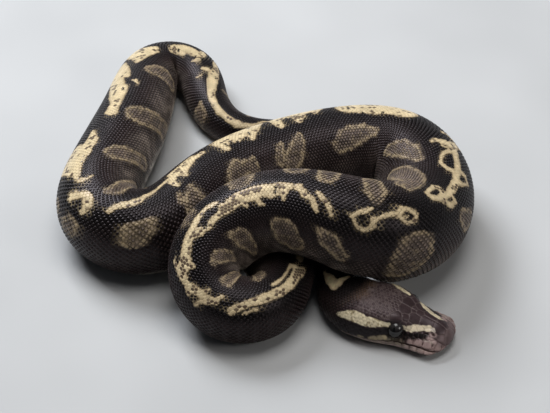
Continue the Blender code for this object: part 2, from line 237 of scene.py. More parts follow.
# the body's surface: the raw outline, drawn in where the floor, the inside of a bend or another length
# presses on it; two lengths meet on the plane of equal power between their middles
def outline(distance, angle):
    centre = spineAt(distance, "place")
    side = spineAt(distance, "side")
    up = spineAt(distance, "up")
    bend = spineAt(distance, "bend")
    shape = headShape(distance)
    own = 0.5 * (shape[:, 2] - shape[:, 3])
    sideways, upward = rawOutline(distance, angle)
    ray = sideways[..., None] * side[:, None, :] + upward[..., None] * up[:, None, :]
    reach = np.linalg.norm(ray, axis=2)
    ray /= np.maximum(reach, 1e-9)[..., None]

    toward = np.einsum("rak,rk->ra", ray, bend)
    folded = np.where(toward > 1e-6, build["bendLimit"] / np.maximum(toward, 1e-6), 1e3)

    other = spine["place"][::2]
    otherDistance = spine["distance"][::2]
    otherShape = headShape(otherDistance)
    otherRadius = 0.5 * (otherShape[:, 2] - otherShape[:, 3])
    pressed = np.full(reach.shape, 1e3)
    for row in range(len(distance)):
        apart = np.abs(otherDistance - distance[row])
        far = apart > build["foldReach"] * np.maximum(otherRadius, own[row])
        across = other[far] - centre[row]
        span = np.linalg.norm(across, axis=1)
        close = span < 2.6 * (otherRadius[far] + own[row])
        if not close.any():
            continue
        across = across[close]
        span = span[close]
        rim = otherRadius[far][close]
        plane = (span ** 2 + own[row] ** 2 - rim ** 2) / (2 * span) - 0.6 * build["gap"]
        along = ray[row] @ (across / span[:, None]).T
        limit = np.where(along > 1e-3, plane[None, :] / np.maximum(along, 1e-3), 1e3)
        pressed[row] = np.maximum(limit.min(axis=1), 0.2)

    reach = softLeast(reach, folded, build["pressBlend"])
    reach = softLeast(reach, pressed, build["pressBlend"])
    falling = -ray[..., 2]
    floor = np.where(falling > 1e-6, centre[:, None, 2] / np.maximum(falling, 1e-6), 1e3)
    reach = np.minimum(reach, floor)
    return centre[:, None, :] + reach[..., None] * ray


def backTurn(distance):
    even = np.arange(-20, 460.0)
    turn = smoothAlong(readTable(backLine, even)[:, None], 1.0, 1.5)[:, 0]
    return np.interp(distance, even, turn)


# rings round the body, each cut into even steps of its own length from the line of the back to the line
# of the belly on either hand; a share of -1 to 1 runs from the belly over the right side, the back at 0
# and the left side to the belly again
def ringsAt(distance, perHand, fineSteps):
    fine = np.linspace(-180, 180, 2 * fineSteps + 1)
    turn = fine[None, :] + backTurn(distance)[:, None]
    points = outline(distance, np.radians(turn))
    step = np.linalg.norm(np.diff(points, axis=1), axis=2)
    run = np.concatenate([np.zeros((len(distance), 1)), np.cumsum(step, axis=1)], axis=1)
    run -= run[:, fineSteps:fineSteps + 1]
    share = np.linspace(-1, 1, 2 * perHand + 1)
    placed = np.empty((len(distance), len(share), 3))
    turned = np.empty((len(distance), len(share)))
    for row in range(len(distance)):
        goal = np.where(share < 0, -share * run[row, 0], share * run[row, -1])
        climb = run[row] + np.arange(len(fine)) * 1e-9
        for k in range(3):
            placed[row, :, k] = np.interp(goal, climb, points[row, :, k])
        turned[row] = np.interp(goal, climb, turn[row])
    placed[:, -1] = placed[:, 0]
    return {"distance": distance, "share": share, "place": placed, "turn": turned,
            "right": -run[:, 0], "left": run[:, -1]}


# unit vectors square to a grid of rings: the step round the body crossed with the step along it
def facing(points):
    along = np.gradient(points, axis=0)
    wrapped = np.concatenate([points[:, -2:-1], points, points[:, 1:2]], axis=1)
    normal = np.cross(wrapped[:, 2:] - wrapped[:, :-2], along)
    return normal / np.maximum(np.linalg.norm(normal, axis=2), 1e-12)[..., None]


surfaceStep = 0.5
handSteps = 120
hide = ringsAt(np.arange(0.0, tailEnd, surfaceStep), handSteps, 240)
hide["normal"] = facing(hide["place"])
hide["stretch"] = np.linalg.norm(np.gradient(hide["place"], surfaceStep, axis=0), axis=2)
print("surface worked out:", hide["place"].shape[0], "rings, tail ends at", round(float(tailEnd), 1))


# a value of the surface at any distance and share, from the four nearest places of its grid
def onHide(key, distance, share):
    values = hide[key]
    row = np.clip(distance / surfaceStep, 0, values.shape[0] - 1.001)
    column = np.clip((share + 1) * handSteps, 0, 2 * handSteps - 0.001)
    i = row.astype(int)
    j = column.astype(int)
    down = row - i
    beside = column - j
    if values.ndim == 3:
        down = down[..., None]
        beside = beside[..., None]
    near = lerp(values[i, j], values[i, j + 1], beside)
    return lerp(near, lerp(values[i + 1, j], values[i + 1, j + 1], beside), down)


# length round the body from the back to the belly, over the right side and over the left
def bothLengths(distance):
    return [np.interp(distance, hide["distance"], hide[hand]) for hand in ("right", "left")]


# the same, on the hand where the share lies
def handLength(distance, share):
    right, left = bothLengths(distance)
    return np.where(share < 0, right, left)


# smooth noise from 0 to 1: a scrambled sine at the corners of a square grid, blended between them
def noiseAt(x, y, seed):
    i = np.floor(x)
    j = np.floor(y)
    u = smoothStep(0, 1, x - i)
    v = smoothStep(0, 1, y - j)

    def corner(a, b):
        value = np.sin(a * 127.1 + b * 311.7 + seed * 74.7) * 43758.5453
        return value - np.floor(value)

    return lerp(lerp(corner(i, j), corner(i + 1, j), u), lerp(corner(i, j + 1), corner(i + 1, j + 1), u), v)


# how deep a place lies inside brush strokes: the half width at the nearest place of a stroke's middle
# line, less the distance to it, in mm; the second coordinate counts perUnit mm a unit
def strokeDepth(strokes, x, y, perUnit):
    depth = np.full(x.shape, -9.0)
    for stroke in strokes:
        knots = np.array(stroke, float)
        near = (x > knots[:, 0].min() - 9) & (x < knots[:, 0].max() + 9)
        if not near.any():
            continue
        scale = perUnit[near] if isinstance(perUnit, np.ndarray) else perUnit
        best = depth[near]
        if len(knots) == 1:
            knots = np.repeat(knots, 2, axis=0)
        for start, end in zip(knots[:-1], knots[1:]):
            px = x[near] - start[0]
            py = (y[near] - start[1]) * scale
            dx = end[0] - start[0]
            dy = (end[1] - start[1]) * scale
            along = np.clip((px * dx + py * dy) / np.maximum(dx * dx + dy * dy, 1e-9), 0, 1)
            off = np.hypot(px - along * dx, py - along * dy)
            best = np.maximum(best, start[2] + along * (end[2] - start[2]) - off)
        depth[near] = best
    return depth


def mixColour(first, second, share):
    return first + (np.asarray(second) - first) * np.asarray(share)[..., None]


# one colour at every place
def evenColour(places, tint):
    return np.zeros(places.shape + (3,)) + tint


# the markings of the body, as strokes of (distance from the snout, turn from the top, half width)
creamStrokes = [
    [(30.4, 4, .4), (30.4, -6, .75), (30.2, -20, 1.0), (30.3, -31, .9)],
    [(30.6, -26, 1.3), (32.5, -29, 1.0), (34.3, -34, .6), (35.5, -41, .2)],
    [(39, -8, .5), (44, -10, .9), (50, -14, 1.1), (56, -20, .8)],
    [(60, -26, 1.0), (64, -32, 1.1)],
    [(68, -17, .45), (72, -15, .4), (76, -14, .45)],
    [(67.8, -18, .5), (68, -38, 1.1)],
    [(68.5, -34, 1.4), (74, -31, 1.3), (79, -30, 1.1), (82, -36, .9), (84.5, -48, .8), (84.5, -55, .4)],
    [(67, -46, .6), (69, -42, .8)],
    [(81, -46, .5), (82.5, -52, .3)],
    [(87.3, -31, .5), (88, -42, .7), (90.3, -52, .6), (90.8, -64, .25)],
    [(91, -29, .4), (91.5, -40, .9), (93.5, -50, 1.0), (93.2, -58, .4)],
    [(88, -43, .8), (93, -44, 1.0), (97, -46, 1.0), (99, -50, .5)],
    [(97.8, -20, .5), (98.2, -34, 1.1), (97.5, -46, .9)],
    [(98.5, -30, 1.2), (101.5, -20, 1.4), (104.5, -14, 1.3), (107, -13, 1.0), (110, -11, .7), (112, -2, .6)],
    [(104, -12, 1.1), (105.3, 4, .9), (108, 13, .9), (112, 16, 1.1), (112.5, 6, .6)],
    [(112, 15, 1.2), (116, 11, 1.2), (120, 12, 1.2), (125, 14, 1.1), (129, 14, 1.0)],
    [(113, 20, .9), (120, 23, .9), (128, 24, .9)],
    [(116.5, 16, .8), (118, 32, .35)],
    [(120.6, 18, .9), (121.5, 36, .5), (122.5, 38, .3)],
    [(124, 16, 1.2), (124.5, 28, .6)],
    [(128, 14, 1.0), (127.8, 34, .5)],
    [(131, 14, .9), (132.5, 24, .7), (134.5, 30, .6), (136.2, 44, .45)],
    [(135.5, 20, .5), (138, 32, .5), (139.3, 45, .35)],
    [(143, 42, .4), (143.6, 36, .5), (145, 33, .5), (146, 28, .35)],
    [(143.3, 41, .4), (144.2, 52, .4), (145.6, 56, .4), (146.8, 50, .4), (147, 40, .5), (149.5, 33, .6),
     (151.5, 30, .5)],
    [(151.2, 36, .4), (152.5, 43, .4), (154, 42, .4), (154.6, 35, .5), (153.3, 28, .5), (151.3, 24, .5),
     (151, 30, .4), (151.2, 36, .4)],
    [(152.6, 36, .3)],
    [(160.2, 13, .6), (160.8, 22, .7), (163, 28, .9), (166, 26, .9), (167, 20, .7), (165.5, 13, .7),
     (162, 12, .6), (160.2, 13, .6)],
    [(163, 28, 1.0), (164.5, 36, .9), (165.5, 44, .7), (168, 46, .5), (168.6, 40, .5), (168.5, 34, .8)],
    [(165, 30, 1.1), (168, 33, 1.0), (172, 34, 1.2), (175, 37, 1.2)],
    [(175, 38, .9), (176, 48, .5), (177.5, 55, .5), (179, 50, .5), (179.3, 42, .6)],
    [(176, 35, 1.2), (180, 37, 1.0), (184, 37, 1.0), (187, 38, 1.4), (188.5, 48, 1.0), (188.6, 60, .6)],
    [(190.3, 55, .3), (191.6, 44, .35), (191.8, 36, .3)],
    [(178, 31, .6), (177.5, 22, .6), (179, 14, .6), (181.5, 14, .5), (183.3, 19, .5), (184.5, 28, .7)],
    [(187, 36, 1.3), (187.5, 24, .9), (188, 14, .7), (187.6, 8, .45)],
    [(185.6, 30, .5), (186, 20, .35)],
    [(201, 22, 3.6), (206, 22, 4.4), (212, 24, 3.9)],
    [(220.5, 40, 1.6), (221, 26, 1.2), (221.2, 18, .5)],
    [(221, 36, 2.2), (226, 34, 2.6), (231, 34, 2.2)],
    [(226, 34, 2.4), (225.8, 18, 1.8), (226.4, 6, .8)],
    [(231, 34, 1.8), (231.8, 16, 1.3), (231.6, 4, .8)],
    [(237, 36, 2.4), (238.5, 22, 2.0), (240, 8, 1.2), (240.6, -1, .7)],
    [(238, 34, 2.8), (243, 26, 3.2), (247, 30, 2.6)],
    [(243, 18, 2.4), (244.5, 10, 1.2)],
    [(247.5, 30, 2.2), (248, 14, 1.6), (248.4, 2, .9)],
    [(253.5, 24, .9), (257, 24, 1.2), (260, 22, 1.6), (262.5, 14, 1.3), (263, 6, .6)],
    [(261, 22, 1.6), (265, 20, 1.3), (267.5, 12, 1.0), (267.6, 0, .6)],
    [(256, 31, 1.2), (264, 28, 1.4)],
    [(267, 22, .5), (270, 20, .35), (273, 14, .35), (277, 6, .6), (279, -3, .9), (282, -12, 1.0),
     (284, -20, .7), (284.6, -28, .4)],
    [(289, -46, .55), (288.8, -34, .85), (289.5, -24, 1.0), (291, -24, 1.0), (292, -30, .9),
     (293.2, -42, .9), (293, -48, .5)],
    [(289.6, -31, .9), (289.8, -25, .9)],
    [(295.6, -5, .35), (295, -14, .4), (295.6, -24, .6)],
    [(297, -27, 1.0), (301, -30, 1.9), (306, -27, 2.6), (311, -22, 1.9), (314, -26, 1.0), (315.5, -29, .4)],
    [(299, -34, 1.2), (301, -46, 1.5), (303, -60, 1.6)],
    [(304, -40, 3.2), (308, -46, 2.8), (307, -58, 2.2)],
    [(323.5, -9, .9), (324, -19, 1.2)],
    [(324, -15, 1.6), (329, -17, 1.7), (333, -22, 2.6), (337, -30, 2.6), (341, -38, 2.4), (346, -48, 3.0),
     (351, -52, 2.4)],
    [(334, -12, .9), (337, -18, 1.2)],
    [(343, -19, .7), (345, -30, 2.0), (349, -38, 2.0), (353, -47, 1.0)],
    [(338.8, 4, .35), (340.3, -2, .45), (340.5, -7, .3)],
    [(351.5, -12, 1.0), (355, -6, 1.6), (358, 2, 1.5), (359.5, 8, 1.0)],
    [(354, -16, 1.6), (359, -12, 2.2), (361, -2, 1.3)],
    [(356, -26, 2.0), (359, -34, 1.8), (357, -42, 1.6)],
    [(366, 14, .9), (368.5, 18, .9), (371, 12, 1.0)],
    [(367.5, 4, 1.3), (371, -2, 1.6), (374, -8, 1.5), (375, -20, 1.0), (374.5, -30, .8)],
    [(376.2, 14, .35), (376.6, 0, .7)],
    [(377.5, -52, .9), (380.5, -40, 1.2), (383, -28, 1.7), (386, -18, 1.6), (389, -8, 1.2), (392, 5, 1.0),
     (396, 16, .9), (400, 24, .9), (403, 30, .9), (405.5, 28, .6), (407.5, 14, .4), (409, 2, .35),
     (416, 0, .3), (424, 0, .2)],
    [(380.4, -2, .4), (381, -14, .8)],
    [(383, 7, .2), (383.4, 20, .25)],
    [(402.5, 42, .4), (402.8, 34, .7)],
]
# dark openings and slits inside the cream
darkStrokes = [
    [(69.5, -20, .4), (75.5, -20, .4)],
    [(94, -30, .3), (95.2, -38, .45)],
    [(106.5, 6, .7), (108, 0, 1.0), (110, 4, .9)],
    [(109.5, -4, .5)],
    [(125.6, 24, .35), (125.9, 15, .3)],
    [(122.5, 27, .3)],
    [(130, 24, .25)],
    [(133.6, 22, .25)],
    [(144.8, 46, .5)],
    [(163.2, 20, .65), (164.8, 21, .6)],
    [(166.6, 39, .45)],
    [(177.5, 47, .3), (177.6, 52, .25)],
    [(180.5, 23, .8)],
    [(189.6, 50, .2), (189.9, 60, .2)],
    [(204, -2, .4), (204.2, 7, .3)],
    [(209.3, -3, .5), (209.3, 4, .3)],
    [(202.3, 34, .15), (202.3, 27, .15)],
    [(212.8, 26, .3), (212.8, 16, .35)],
    [(228.8, 25, .35), (228.8, 4, .5)],
    [(230.2, 20, .3), (230.2, 10, .3)],
    [(233.6, 50, .45), (234.2, 20, .45)],
    [(217.2, 44, .5), (217.2, 20, .6)],
    [(240, 17, .3), (240.3, 9, .3)],
    [(247.5, 14, .25), (247.5, 6, .3)],
    [(245.2, 0, .4), (244.6, 6, .3)],
    [(264.9, 8, .4), (264.9, 14, .3)],
    [(301.8, -22, .3)],
    [(304, -22, .3)],
    [(335.4, -16, .25), (336.4, -18, .25)],
    [(350, -22, .3), (353, -33, .3), (356, -48, .3)],
    [(364, 30, .5), (364, -30, .55)],
    [(369, 14, .35), (369, 8, .3)],
    [(375.3, 2, .3), (374.8, -3, .2)],
    [(378.4, 10, .4), (377.4, -20, .3), (376.6, -40, .3)],
]
# the blotches of the flanks, brown inside a golden margin
blotchStrokes = [
    [(73.5, 45, 2.4), (76, 28, 2.2), (78.5, 14, 1.2)],
    [(89, 32, 3.6), (89, 12, 3.4), (87.3, -3, 1.3)],
    [(97.8, 12, .9), (100.5, 35, 2.2), (103, 60, 2.2)],
    [(109.3, 48, 1.2), (112, 68, 3.4), (114, 92, 2.4)],
    [(126, 70, 2.4), (128.5, 80, 4.0), (131.5, 95, 3.0)],
    [(137.8, 66, 1.0), (140, 78, 2.4), (143, 96, 1.6)],
    [(155, 70, 3.4), (155, 88, 3.8), (154.5, 104, 3.0)],
    [(169, 68, 2.2), (171, 80, 3.0)],
    [(288.2, 0, 1.2), (287, 14, 2.9), (287.5, 30, 3.4), (293, 52, 3.0), (299, 68, 2.0)],
    [(306.6, 18, 2.7), (308, 30, 3.0), (310, 48, 2.4), (312, 70, 2.2)],
    [(325.2, 21, 3.1), (325.8, 30, 3.5), (327.5, 50, 3.2), (330, 80, 3.0), (331.5, 100, 2.6)],
    [(347.2, 20, 2.4), (348, 30, 3.0), (349, 44, 3.0), (348, 60, 3.0)],
    [(391.5, 38, .5), (393.5, 60, 1.9), (393.5, 100, 2.2)],
    [(156, -8, 2.2), (163, -14, 4.0), (170, -22, 4.4), (176, -38, 3.6), (179, -52, 2.4)],
    [(154, -18, 1.6), (158, -24, 3.0)],
    [(181, -14, 1.6), (185, -21, 2.8), (190, -33, 3.4), (193.5, -43, 2.2)],
    [(186.5, -14, 1.2)],
    [(208.6, -15, .3), (209.5, -22, 1.0)],
    [(205, -27, 1.4), (210, -30, 2.8), (214.5, -36, 3.4), (217, -43, 2.4)],
    [(213, -24, 1.4), (216, -28, 1.4)],
    [(228.2, -18, .9), (229, -28, 2.0), (231.5, -44, 3.0), (233, -55, 2.4)],
    [(234, -23, .7), (235.5, -34, 1.6), (236, -46, 1.6)],
    [(244.5, -32, 1.4), (245.5, -44, 2.2)],
    [(249.5, -24, 1.4), (250, -34, 3.0), (253, -40, 2.4), (247, -36, 2.4)],
    [(266, -16, 1.4), (267, -28, 2.6), (268, -40, 2.8)],
    [(269, -10, .5), (270, -24, 1.0)],
    [(277.2, -36, 1.2), (279, -48, 2.6), (280, -62, 2.0)],
    [(290, -66, 1.4), (291, -82, 2.2)],
    [(106.8, -20, 1.6), (106.8, -42, 2.0)],
    [(118.5, -12, 2.6), (118.5, -35, 3.0)],
    [(129.5, -25, 2.5), (129.5, -42, 2.6)],
    [(136.5, -10, 2.4), (136.5, -34, 2.6)],
    [(146.8, 18, 1.2), (146.8, 2, 2.4), (146.5, -24, 2.6)],
]
# where no blotch is listed, each flank gets one about every spacing mm, of three points: the turn from
# the back, and the shares of the blotch's lean and of its half width that the point takes
hiddenFlanks = {
    "right": [(296, 412)], "left": [(40, 66), (198, 280)],
    "spacing": 15.5, "lean": 3.0,
    "halfWidth": 2.5, "fullRadius": 11,          # the half width holds at this radius of the body
    "points": [(42, 0.0, 0.6), (62, 0.4, 1.0), (92, 1.0, 0.9)],
}
coat = {
    "cream": (0.67, 0.54, 0.330),
    "creamDull": (0.47, 0.36, 0.215),
    "creamSpeck": (0.060, 0.036, 0.027),
    "black": (0.0055, 0.0045, 0.0042),
    "flank": (0.025, 0.0160, 0.0150),
    "lowFlank": (0.20, 0.163, 0.138),
    "golden": (0.35, 0.268, 0.165),
    "brown": (0.135, 0.102, 0.082),
    "belly": (0.46, 0.415, 0.345),
    "bellyFleck": (0.10, 0.085, 0.075),
}


def hiddenBlotches():
    strokes = []
    for hand, key in ((-1, "right"), (1, "left")):
        for start, end in hiddenFlanks[key]:
            for place in np.arange(start, end, hiddenFlanks["spacing"]):
                back = float(readTable(backLine, place))
                varied = hiddenFlanks["halfWidth"] * (0.8 + 0.4 * math.sin(place) ** 2)
                size = varied * radiusAt(place) / hiddenFlanks["fullRadius"]
                lean = hiddenFlanks["lean"] * math.sin(place * 1.7)
                strokes.append([(place + leaning * lean, back + hand * turn, share * size)
                                for turn, leaning, share in hiddenFlanks["points"]])
    return strokes


# cells are the sizes of noise along and round the body, in mm; spans are degrees from the back, and widths
# are in mm from a marking's edge
bodyLook = {
    "raggedCell": (1.1, 0.9), "broadCell": (6, 5), "grainCell": (0.8, 0.8), "mottleCell": (0.62, 0.62),
    "flankSpan": (14, 62), "lowSpan": (44, 100), "bellySpan": (112, 136), "blotchSpan": (60, 110),
    "rightPaleness": 0.20,       # share of the left flank's paleness that the right one has
    "haloPlace": -0.8, "haloWidth": 0.7, "haloDark": 0.45,       # the dark edge outside a blotch
    "rimPlace": 0.55, "rimWidth": 0.75,                          # the golden edge inside it
    "creamGrowth": 0.10,         # how much wider the cream is than its strokes
    "darkReach": 2.6,            # how far the ground is darker round the cream
    "napeSpan": (34, 40), "napePaintedLight": 0.36,      # distances over which the nape's brighter cream ends, and how much brighter it is: painted light against the coil's shadow over the nape
}


# the colour of the coat away from the head: strokes over a ground that pales from the back to the belly
def bodyColour(distance, share, turn):
    right, left = bothLengths(distance)
    perDegree = 0.5 * (right + left) / 180

    def noiseOf(cell, seed):
        along, beside = bodyLook[cell]
        return noiseAt(distance / along, turn * perDegree / beside, seed)

    fromBack = np.abs(share) * 180
    ragged = noiseOf("raggedCell", 3) - 0.5
    broad = noiseOf("broadCell", 5) - 0.5
    flank = smoothStep(*bodyLook["flankSpan"], fromBack)
    ground = mixColour(evenColour(distance, coat["black"]), coat["flank"], flank)
    bars = 0.5 + 0.5 * np.sin(distance * 1.25 + 2.4 * np.sin(fromBack / 9 + distance / 7) + 2 * broad)
    paler = np.where(share > 0, 1.0, bodyLook["rightPaleness"])
    cloudy = 0.5 * smoothStep(0.35, 0.75, bars) + 0.5 * smoothStep(0.3, 0.7, broad + 0.5)
    low = smoothStep(*bodyLook["lowSpan"], fromBack) * paler * (0.35 + 0.65 * cloudy)
    ground = mixColour(ground, coat["lowFlank"], low)
    pale = smoothStep(*bodyLook["bellySpan"], fromBack + 14 * broad)
    ground = mixColour(ground, coat["belly"], pale * (0.45 + 0.55 * smoothStep(0.3, 0.7, bars)))
    ground = ground * (1 + 0.5 * broad + 0.25 * ragged)[..., None]

    blotch = strokeDepth(blotchStrokes + hiddenBlotches(), distance, turn, perDegree) + 0.5 * ragged
    halo = np.exp(-((blotch - bodyLook["haloPlace"]) / bodyLook["haloWidth"]) ** 2)
    ground = ground * (1 - bodyLook["haloDark"] * halo)[..., None]
    lower = smoothStep(*bodyLook["blotchSpan"], fromBack)
    inside = mixColour(evenColour(distance, coat["brown"]), coat["lowFlank"], lower)
    inside = inside * (0.9 + 0.9 * (noiseOf("grainCell", 8) - 0.5))[..., None]
    mottle = noiseOf("mottleCell", 9)
    rim = np.exp(-((blotch - bodyLook["rimPlace"]) / bodyLook["rimWidth"]) ** 2)
    rim = rim * (0.25 + 0.75 * smoothStep(0.25, 0.6, mottle))
    rim = np.maximum(rim, 0.45 * smoothStep(0.62, 0.85, mottle))
    inside = mixColour(inside, coat["golden"], rim)
    colour = mixColour(ground, inside, smoothStep(-0.2, 0.2, blotch))

    cream = strokeDepth(creamStrokes, distance, turn, perDegree) + bodyLook["creamGrowth"] + 0.45 * ragged
    hole = strokeDepth(darkStrokes, distance, turn, perDegree) + 0.3 * ragged
    cream = np.where(hole > 0, -hole - 0.1, cream)
    near = np.clip(1 + cream / bodyLook["darkReach"], 0, 1)
    colour = mixColour(colour, np.array(coat["black"]) * 0.9, np.where(cream < 0, near * 0.85, 0))
    tone = mixColour(evenColour(distance, coat["creamDull"]), coat["cream"], smoothStep(0.0, 1.0, cream))
    # painted light: the nape's cream is brightened against the shadow of the coil above it
    nape = 1 + bodyLook["napePaintedLight"] * (1 - smoothStep(*bodyLook["napeSpan"], distance))
    tone = tone * ((1 + 0.14 * ragged + 0.12 * broad) * nape)[..., None]
    return mixColour(colour, tone, smoothStep(-0.08, 0.10, cream))


# dark middles of the cream scales come in groups: a chance shared by a group and one of the scale's own
# have to pass a level, which is lower about the places where specks are common (distance, reach, lowering)
speckForm = {
    "group": (1.5, 1.1), "groupShare": 0.72, "level": 0.62, "start": (60, 66),
    "common": [(76, 16, 0.17), (108, 24, 0.19)],
}


def speckDepth(distance, share):
    across = share * handLength(distance, share)
    along, beside = speckForm["group"]
    group = noiseAt(distance / along, across / beside, 12)
    single = noiseAt(distance * 7.3, across * 11.7, 13)
    needed = speckForm["level"]
    for place, reach, lowering in speckForm["common"]:
        needed = needed - lowering * np.exp(-((distance - place) / reach) ** 2)
    chance = lerp(single, group, speckForm["groupShare"])
    return smoothStep(0, 0.08, chance - needed) * smoothStep(*speckForm["start"], distance)


# the markings of the head, as strokes of (distance, length round from the middle of the top, half width)
headPaint = [
    ("rear brown", (0.105, 0.066, 0.046), 0.9,
     [[(24, 2, 2.0), (27, 3, 3.0), (28, 6, 2.4)],
      [(25.5, 0, 2.4)]]),
    ("lower face", (0.30, 0.235, 0.205), 0.6,
     [[(2, 9.5, 2.2), (6, 11, 2.6), (12, 14, 3.2), (20, 18, 4.0), (28, 18, 4.0)]]),
    ("side band", (0.0055, 0.0045, 0.0042), 0.3,
     [[(4.6, 4.2, .55), (7, 5.5, .75), (9.5, 7.2, .8), (11.5, 8.4, 1.5), (13.5, 9.4, 1.6)],
      [(12.4, 7.9, 1.9), (14.4, 8.2, 1.6)],
      [(14.5, 9.9, 1.6), (17, 11.2, 1.5), (20, 12.4, 1.7), (24, 12.6, 2.0), (28, 12.2, 2.3),
       (33, 11, 2.6)]]),
    ("rear lip", (0.115, 0.098, 0.068), 0.5,
     [[(10.4, 9.4, .5), (12.6, 10.9, .6), (14.4, 11.8, .6)]]),
    ("front lip", (0.31, 0.22, 0.205), 0.4,
     [[(0.9, 4.4, 1.3), (2.3, 5.6, 1.2), (4.2, 6.6, 1.1), (6.6, 7.4, .9), (8.8, 8.2, .6)]]),
    ("snout", (0.125, 0.086, 0.086), 0.6,
     [[(0.2, 0.0, 1.2), (0.9, 2.4, 1.2), (2.0, 3.9, .9)]]),
    ("nostril skin", (0.36, 0.26, 0.245), 0.3,
     [[(3.3, 3.3, .55), (4.2, 3.8, .5)],
      [(4.6, 5.0, .5), (3.0, 4.9, .5)]]),
    ("pit ridge", (0.36, 0.29, 0.25), 0.2,
     [[(3.2, 5.5, .25), (5.4, 5.9, .2)]]),
    ("lower lip", (0.33, 0.24, 0.22), 0.35,
     [[(2.2, 8.0, .6), (5.6, 9.4, .65)],
      [(7.4, 9.7, .55), (9.2, 10.4, .5)],
      [(11, 11.6, .45), (13, 12.8, .45)]]),
    ("lip spots", (0.30, 0.245, 0.155), 0.25,
     [[(15.3, 11.2, .6), (16.6, 12.0, .6)],
      [(17.4, 12.5, .6), (18.6, 13.3, .5)],
      [(20.2, 13.7, .3), (21.2, 14.0, .3)]]),
    ("front stripe", (0.74, 0.63, 0.46), 0.12,
     [[(4.3, 2.5, .45), (5.2, 2.5, .72), (6.5, 3.1, .72), (8, 4.0, .75), (9.3, 5.0, .75), (10.5, 5.9, .55),
       (12, 6.5, .3)]]),
    ("front stripe tip", (0.62, 0.54, 0.46), 0.2,
     [[(3.8, 2.6, .35), (4.6, 2.5, .5)]]),
    ("rear stripe", (0.80, 0.69, 0.48), 0.12,
     [[(15, 7.6, .45), (17, 8.2, .85), (20, 9.1, 1.25), (22.5, 8.9, 1.4), (24.5, 9.3, 1.1),
       (25.8, 9.9, .6)]]),
]
# stripes that show on the left hand only, where it differs from the right
leftStripes = [[(4.4, 2.3, .65), (6.5, 2.5, .75), (8.4, 3.1, .75), (10.0, 4.1, .6)],
               [(13.6, 4.0, .4), (15.2, 4.6, .75), (17.0, 5.6, 1.0), (19.5, 7.4, 1.2)]]
headColours = {
    "crown": (0.047, 0.030, 0.032),
    "seam": (0.21, 0.165, 0.155),
    "groove": (0.022, 0.014, 0.014),
    "chin": (0.52, 0.46, 0.40),
    "mouth": (0.075, 0.040, 0.032),
    "lipSeam": (0.115, 0.062, 0.055),
    # painted shade inside the pits and nostrils
    "pit": (0.085, 0.050, 0.046),
    "leftStripe": (0.74, 0.64, 0.44),
    "fleck": (0.21, 0.165, 0.155),
    "olive": (0.30, 0.235, 0.12),
}


def headColour(distance, around):
    over = np.abs(around)
    ragged = noiseAt(distance / 0.7, around / 0.7, 21) - 0.5
    fine = noiseAt(distance / 0.22, around / 0.22, 23) - 0.5
    under = smoothStep(0.55, 0.75, over / handLength(distance, around))
    colour = mixColour(evenColour(distance, headColours["crown"]), headColours["chin"], under)
    for _, tint, soft, strokes in headPaint:
        depth = strokeDepth(strokes, distance, over, 1.0) + 0.35 * ragged
        colour = mixColour(colour, tint, smoothStep(-soft, soft, depth))
    left = strokeDepth(leftStripes, distance, around, 1.0) + 0.25 * ragged
    colour = mixColour(colour, headColours["leftStripe"], smoothStep(-0.12, 0.12, left))
    olive = smoothStep(0.62, 0.74, noiseAt(distance / 0.42, around / 0.42, 27))
    olive = olive * smoothStep(0.25, 0.4, colour[..., 0]) * smoothStep(14, 16, distance)
    colour = mixColour(colour, headColours["olive"], 0.75 * olive)
    return colour * (1 + 0.28 * ragged + 0.22 * fine)[..., None]


# the head's paint as far as the neck, and the body's behind it
def coatColour(distance, share, turn):
    around = share * handLength(distance, share)
    back = bodyColour(distance, share, turn)
    front = headColour(np.minimum(distance, 36), around)
    return mixColour(front, back, smoothStep(25.5, 28.5, distance + 0.18 * (14 - np.abs(around))))


# materials
class Wire:
    # one socket of a material, so that shader maths reads as plain sums
    def __init__(self, finish, socket):
        self.finish = finish
        self.socket = socket

    def maths(self, operation, first, second):
        return self.finish.add("ShaderNodeMath", {"operation": operation}, {0: first, 1: second})

    def __add__(self, other):
        return self.maths("ADD", self, other)

    def __radd__(self, other):
        return self.maths("ADD", other, self)

    def __sub__(self, other):
        return self.maths("SUBTRACT", self, other)

    def __rsub__(self, other):
        return self.maths("SUBTRACT", other, self)

    def __mul__(self, other):
        return self.maths("MULTIPLY", self, other)

    def __rmul__(self, other):
        return self.maths("MULTIPLY", other, self)


class Finish:
    # a material: every node is added by its type, its settings and what its sockets hold
    def __init__(self, name):
        self.material = bpy.data.materials.new(name)
        self.material.use_nodes = True
        self.tree = self.material.node_tree
        self.tree.nodes.clear()

    def add(self, kind, settings=None, sockets=None, output=0):
        node = self.tree.nodes.new(kind)
        for key, value in (settings or {}).items():
            if key == "stops":
                for stop, (place, tone) in zip(node.color_ramp.elements, value):
                    stop.position = place
                    stop.color = tone
            else:
                setattr(node, key, value)
        for key, value in (sockets or {}).items():
            if isinstance(value, Wire):
                self.tree.links.new(value.socket, node.inputs[key])
            else:
                node.inputs[key].default_value = value
        return Wire(self, node.outputs[output])

    def noise(self, size, detail=2.0):
        place = self.add("ShaderNodeTexCoord", output=3)
        return self.add("ShaderNodeTexNoise", {"noise_dimensions": "3D"},
                        {"Vector": place, "Scale": 1 / (size * mm), "Detail": detail})

    def tinted(self, colour, strength):
        return self.add("ShaderNodeVectorMath", {"operation": "SCALE"}, {0: colour, "Scale": strength})

    def bump(self, height, depth, strength=1.0):
        sockets = {"Height": height, "Distance": depth * mm, "Strength": strength}
        return self.add("ShaderNodeBump", {}, sockets)


def addOutput(finish, shader):
    node = finish.tree.nodes.new("ShaderNodeOutputMaterial")
    finish.tree.links.new(shader.socket, node.inputs["Surface"])
    return finish.material


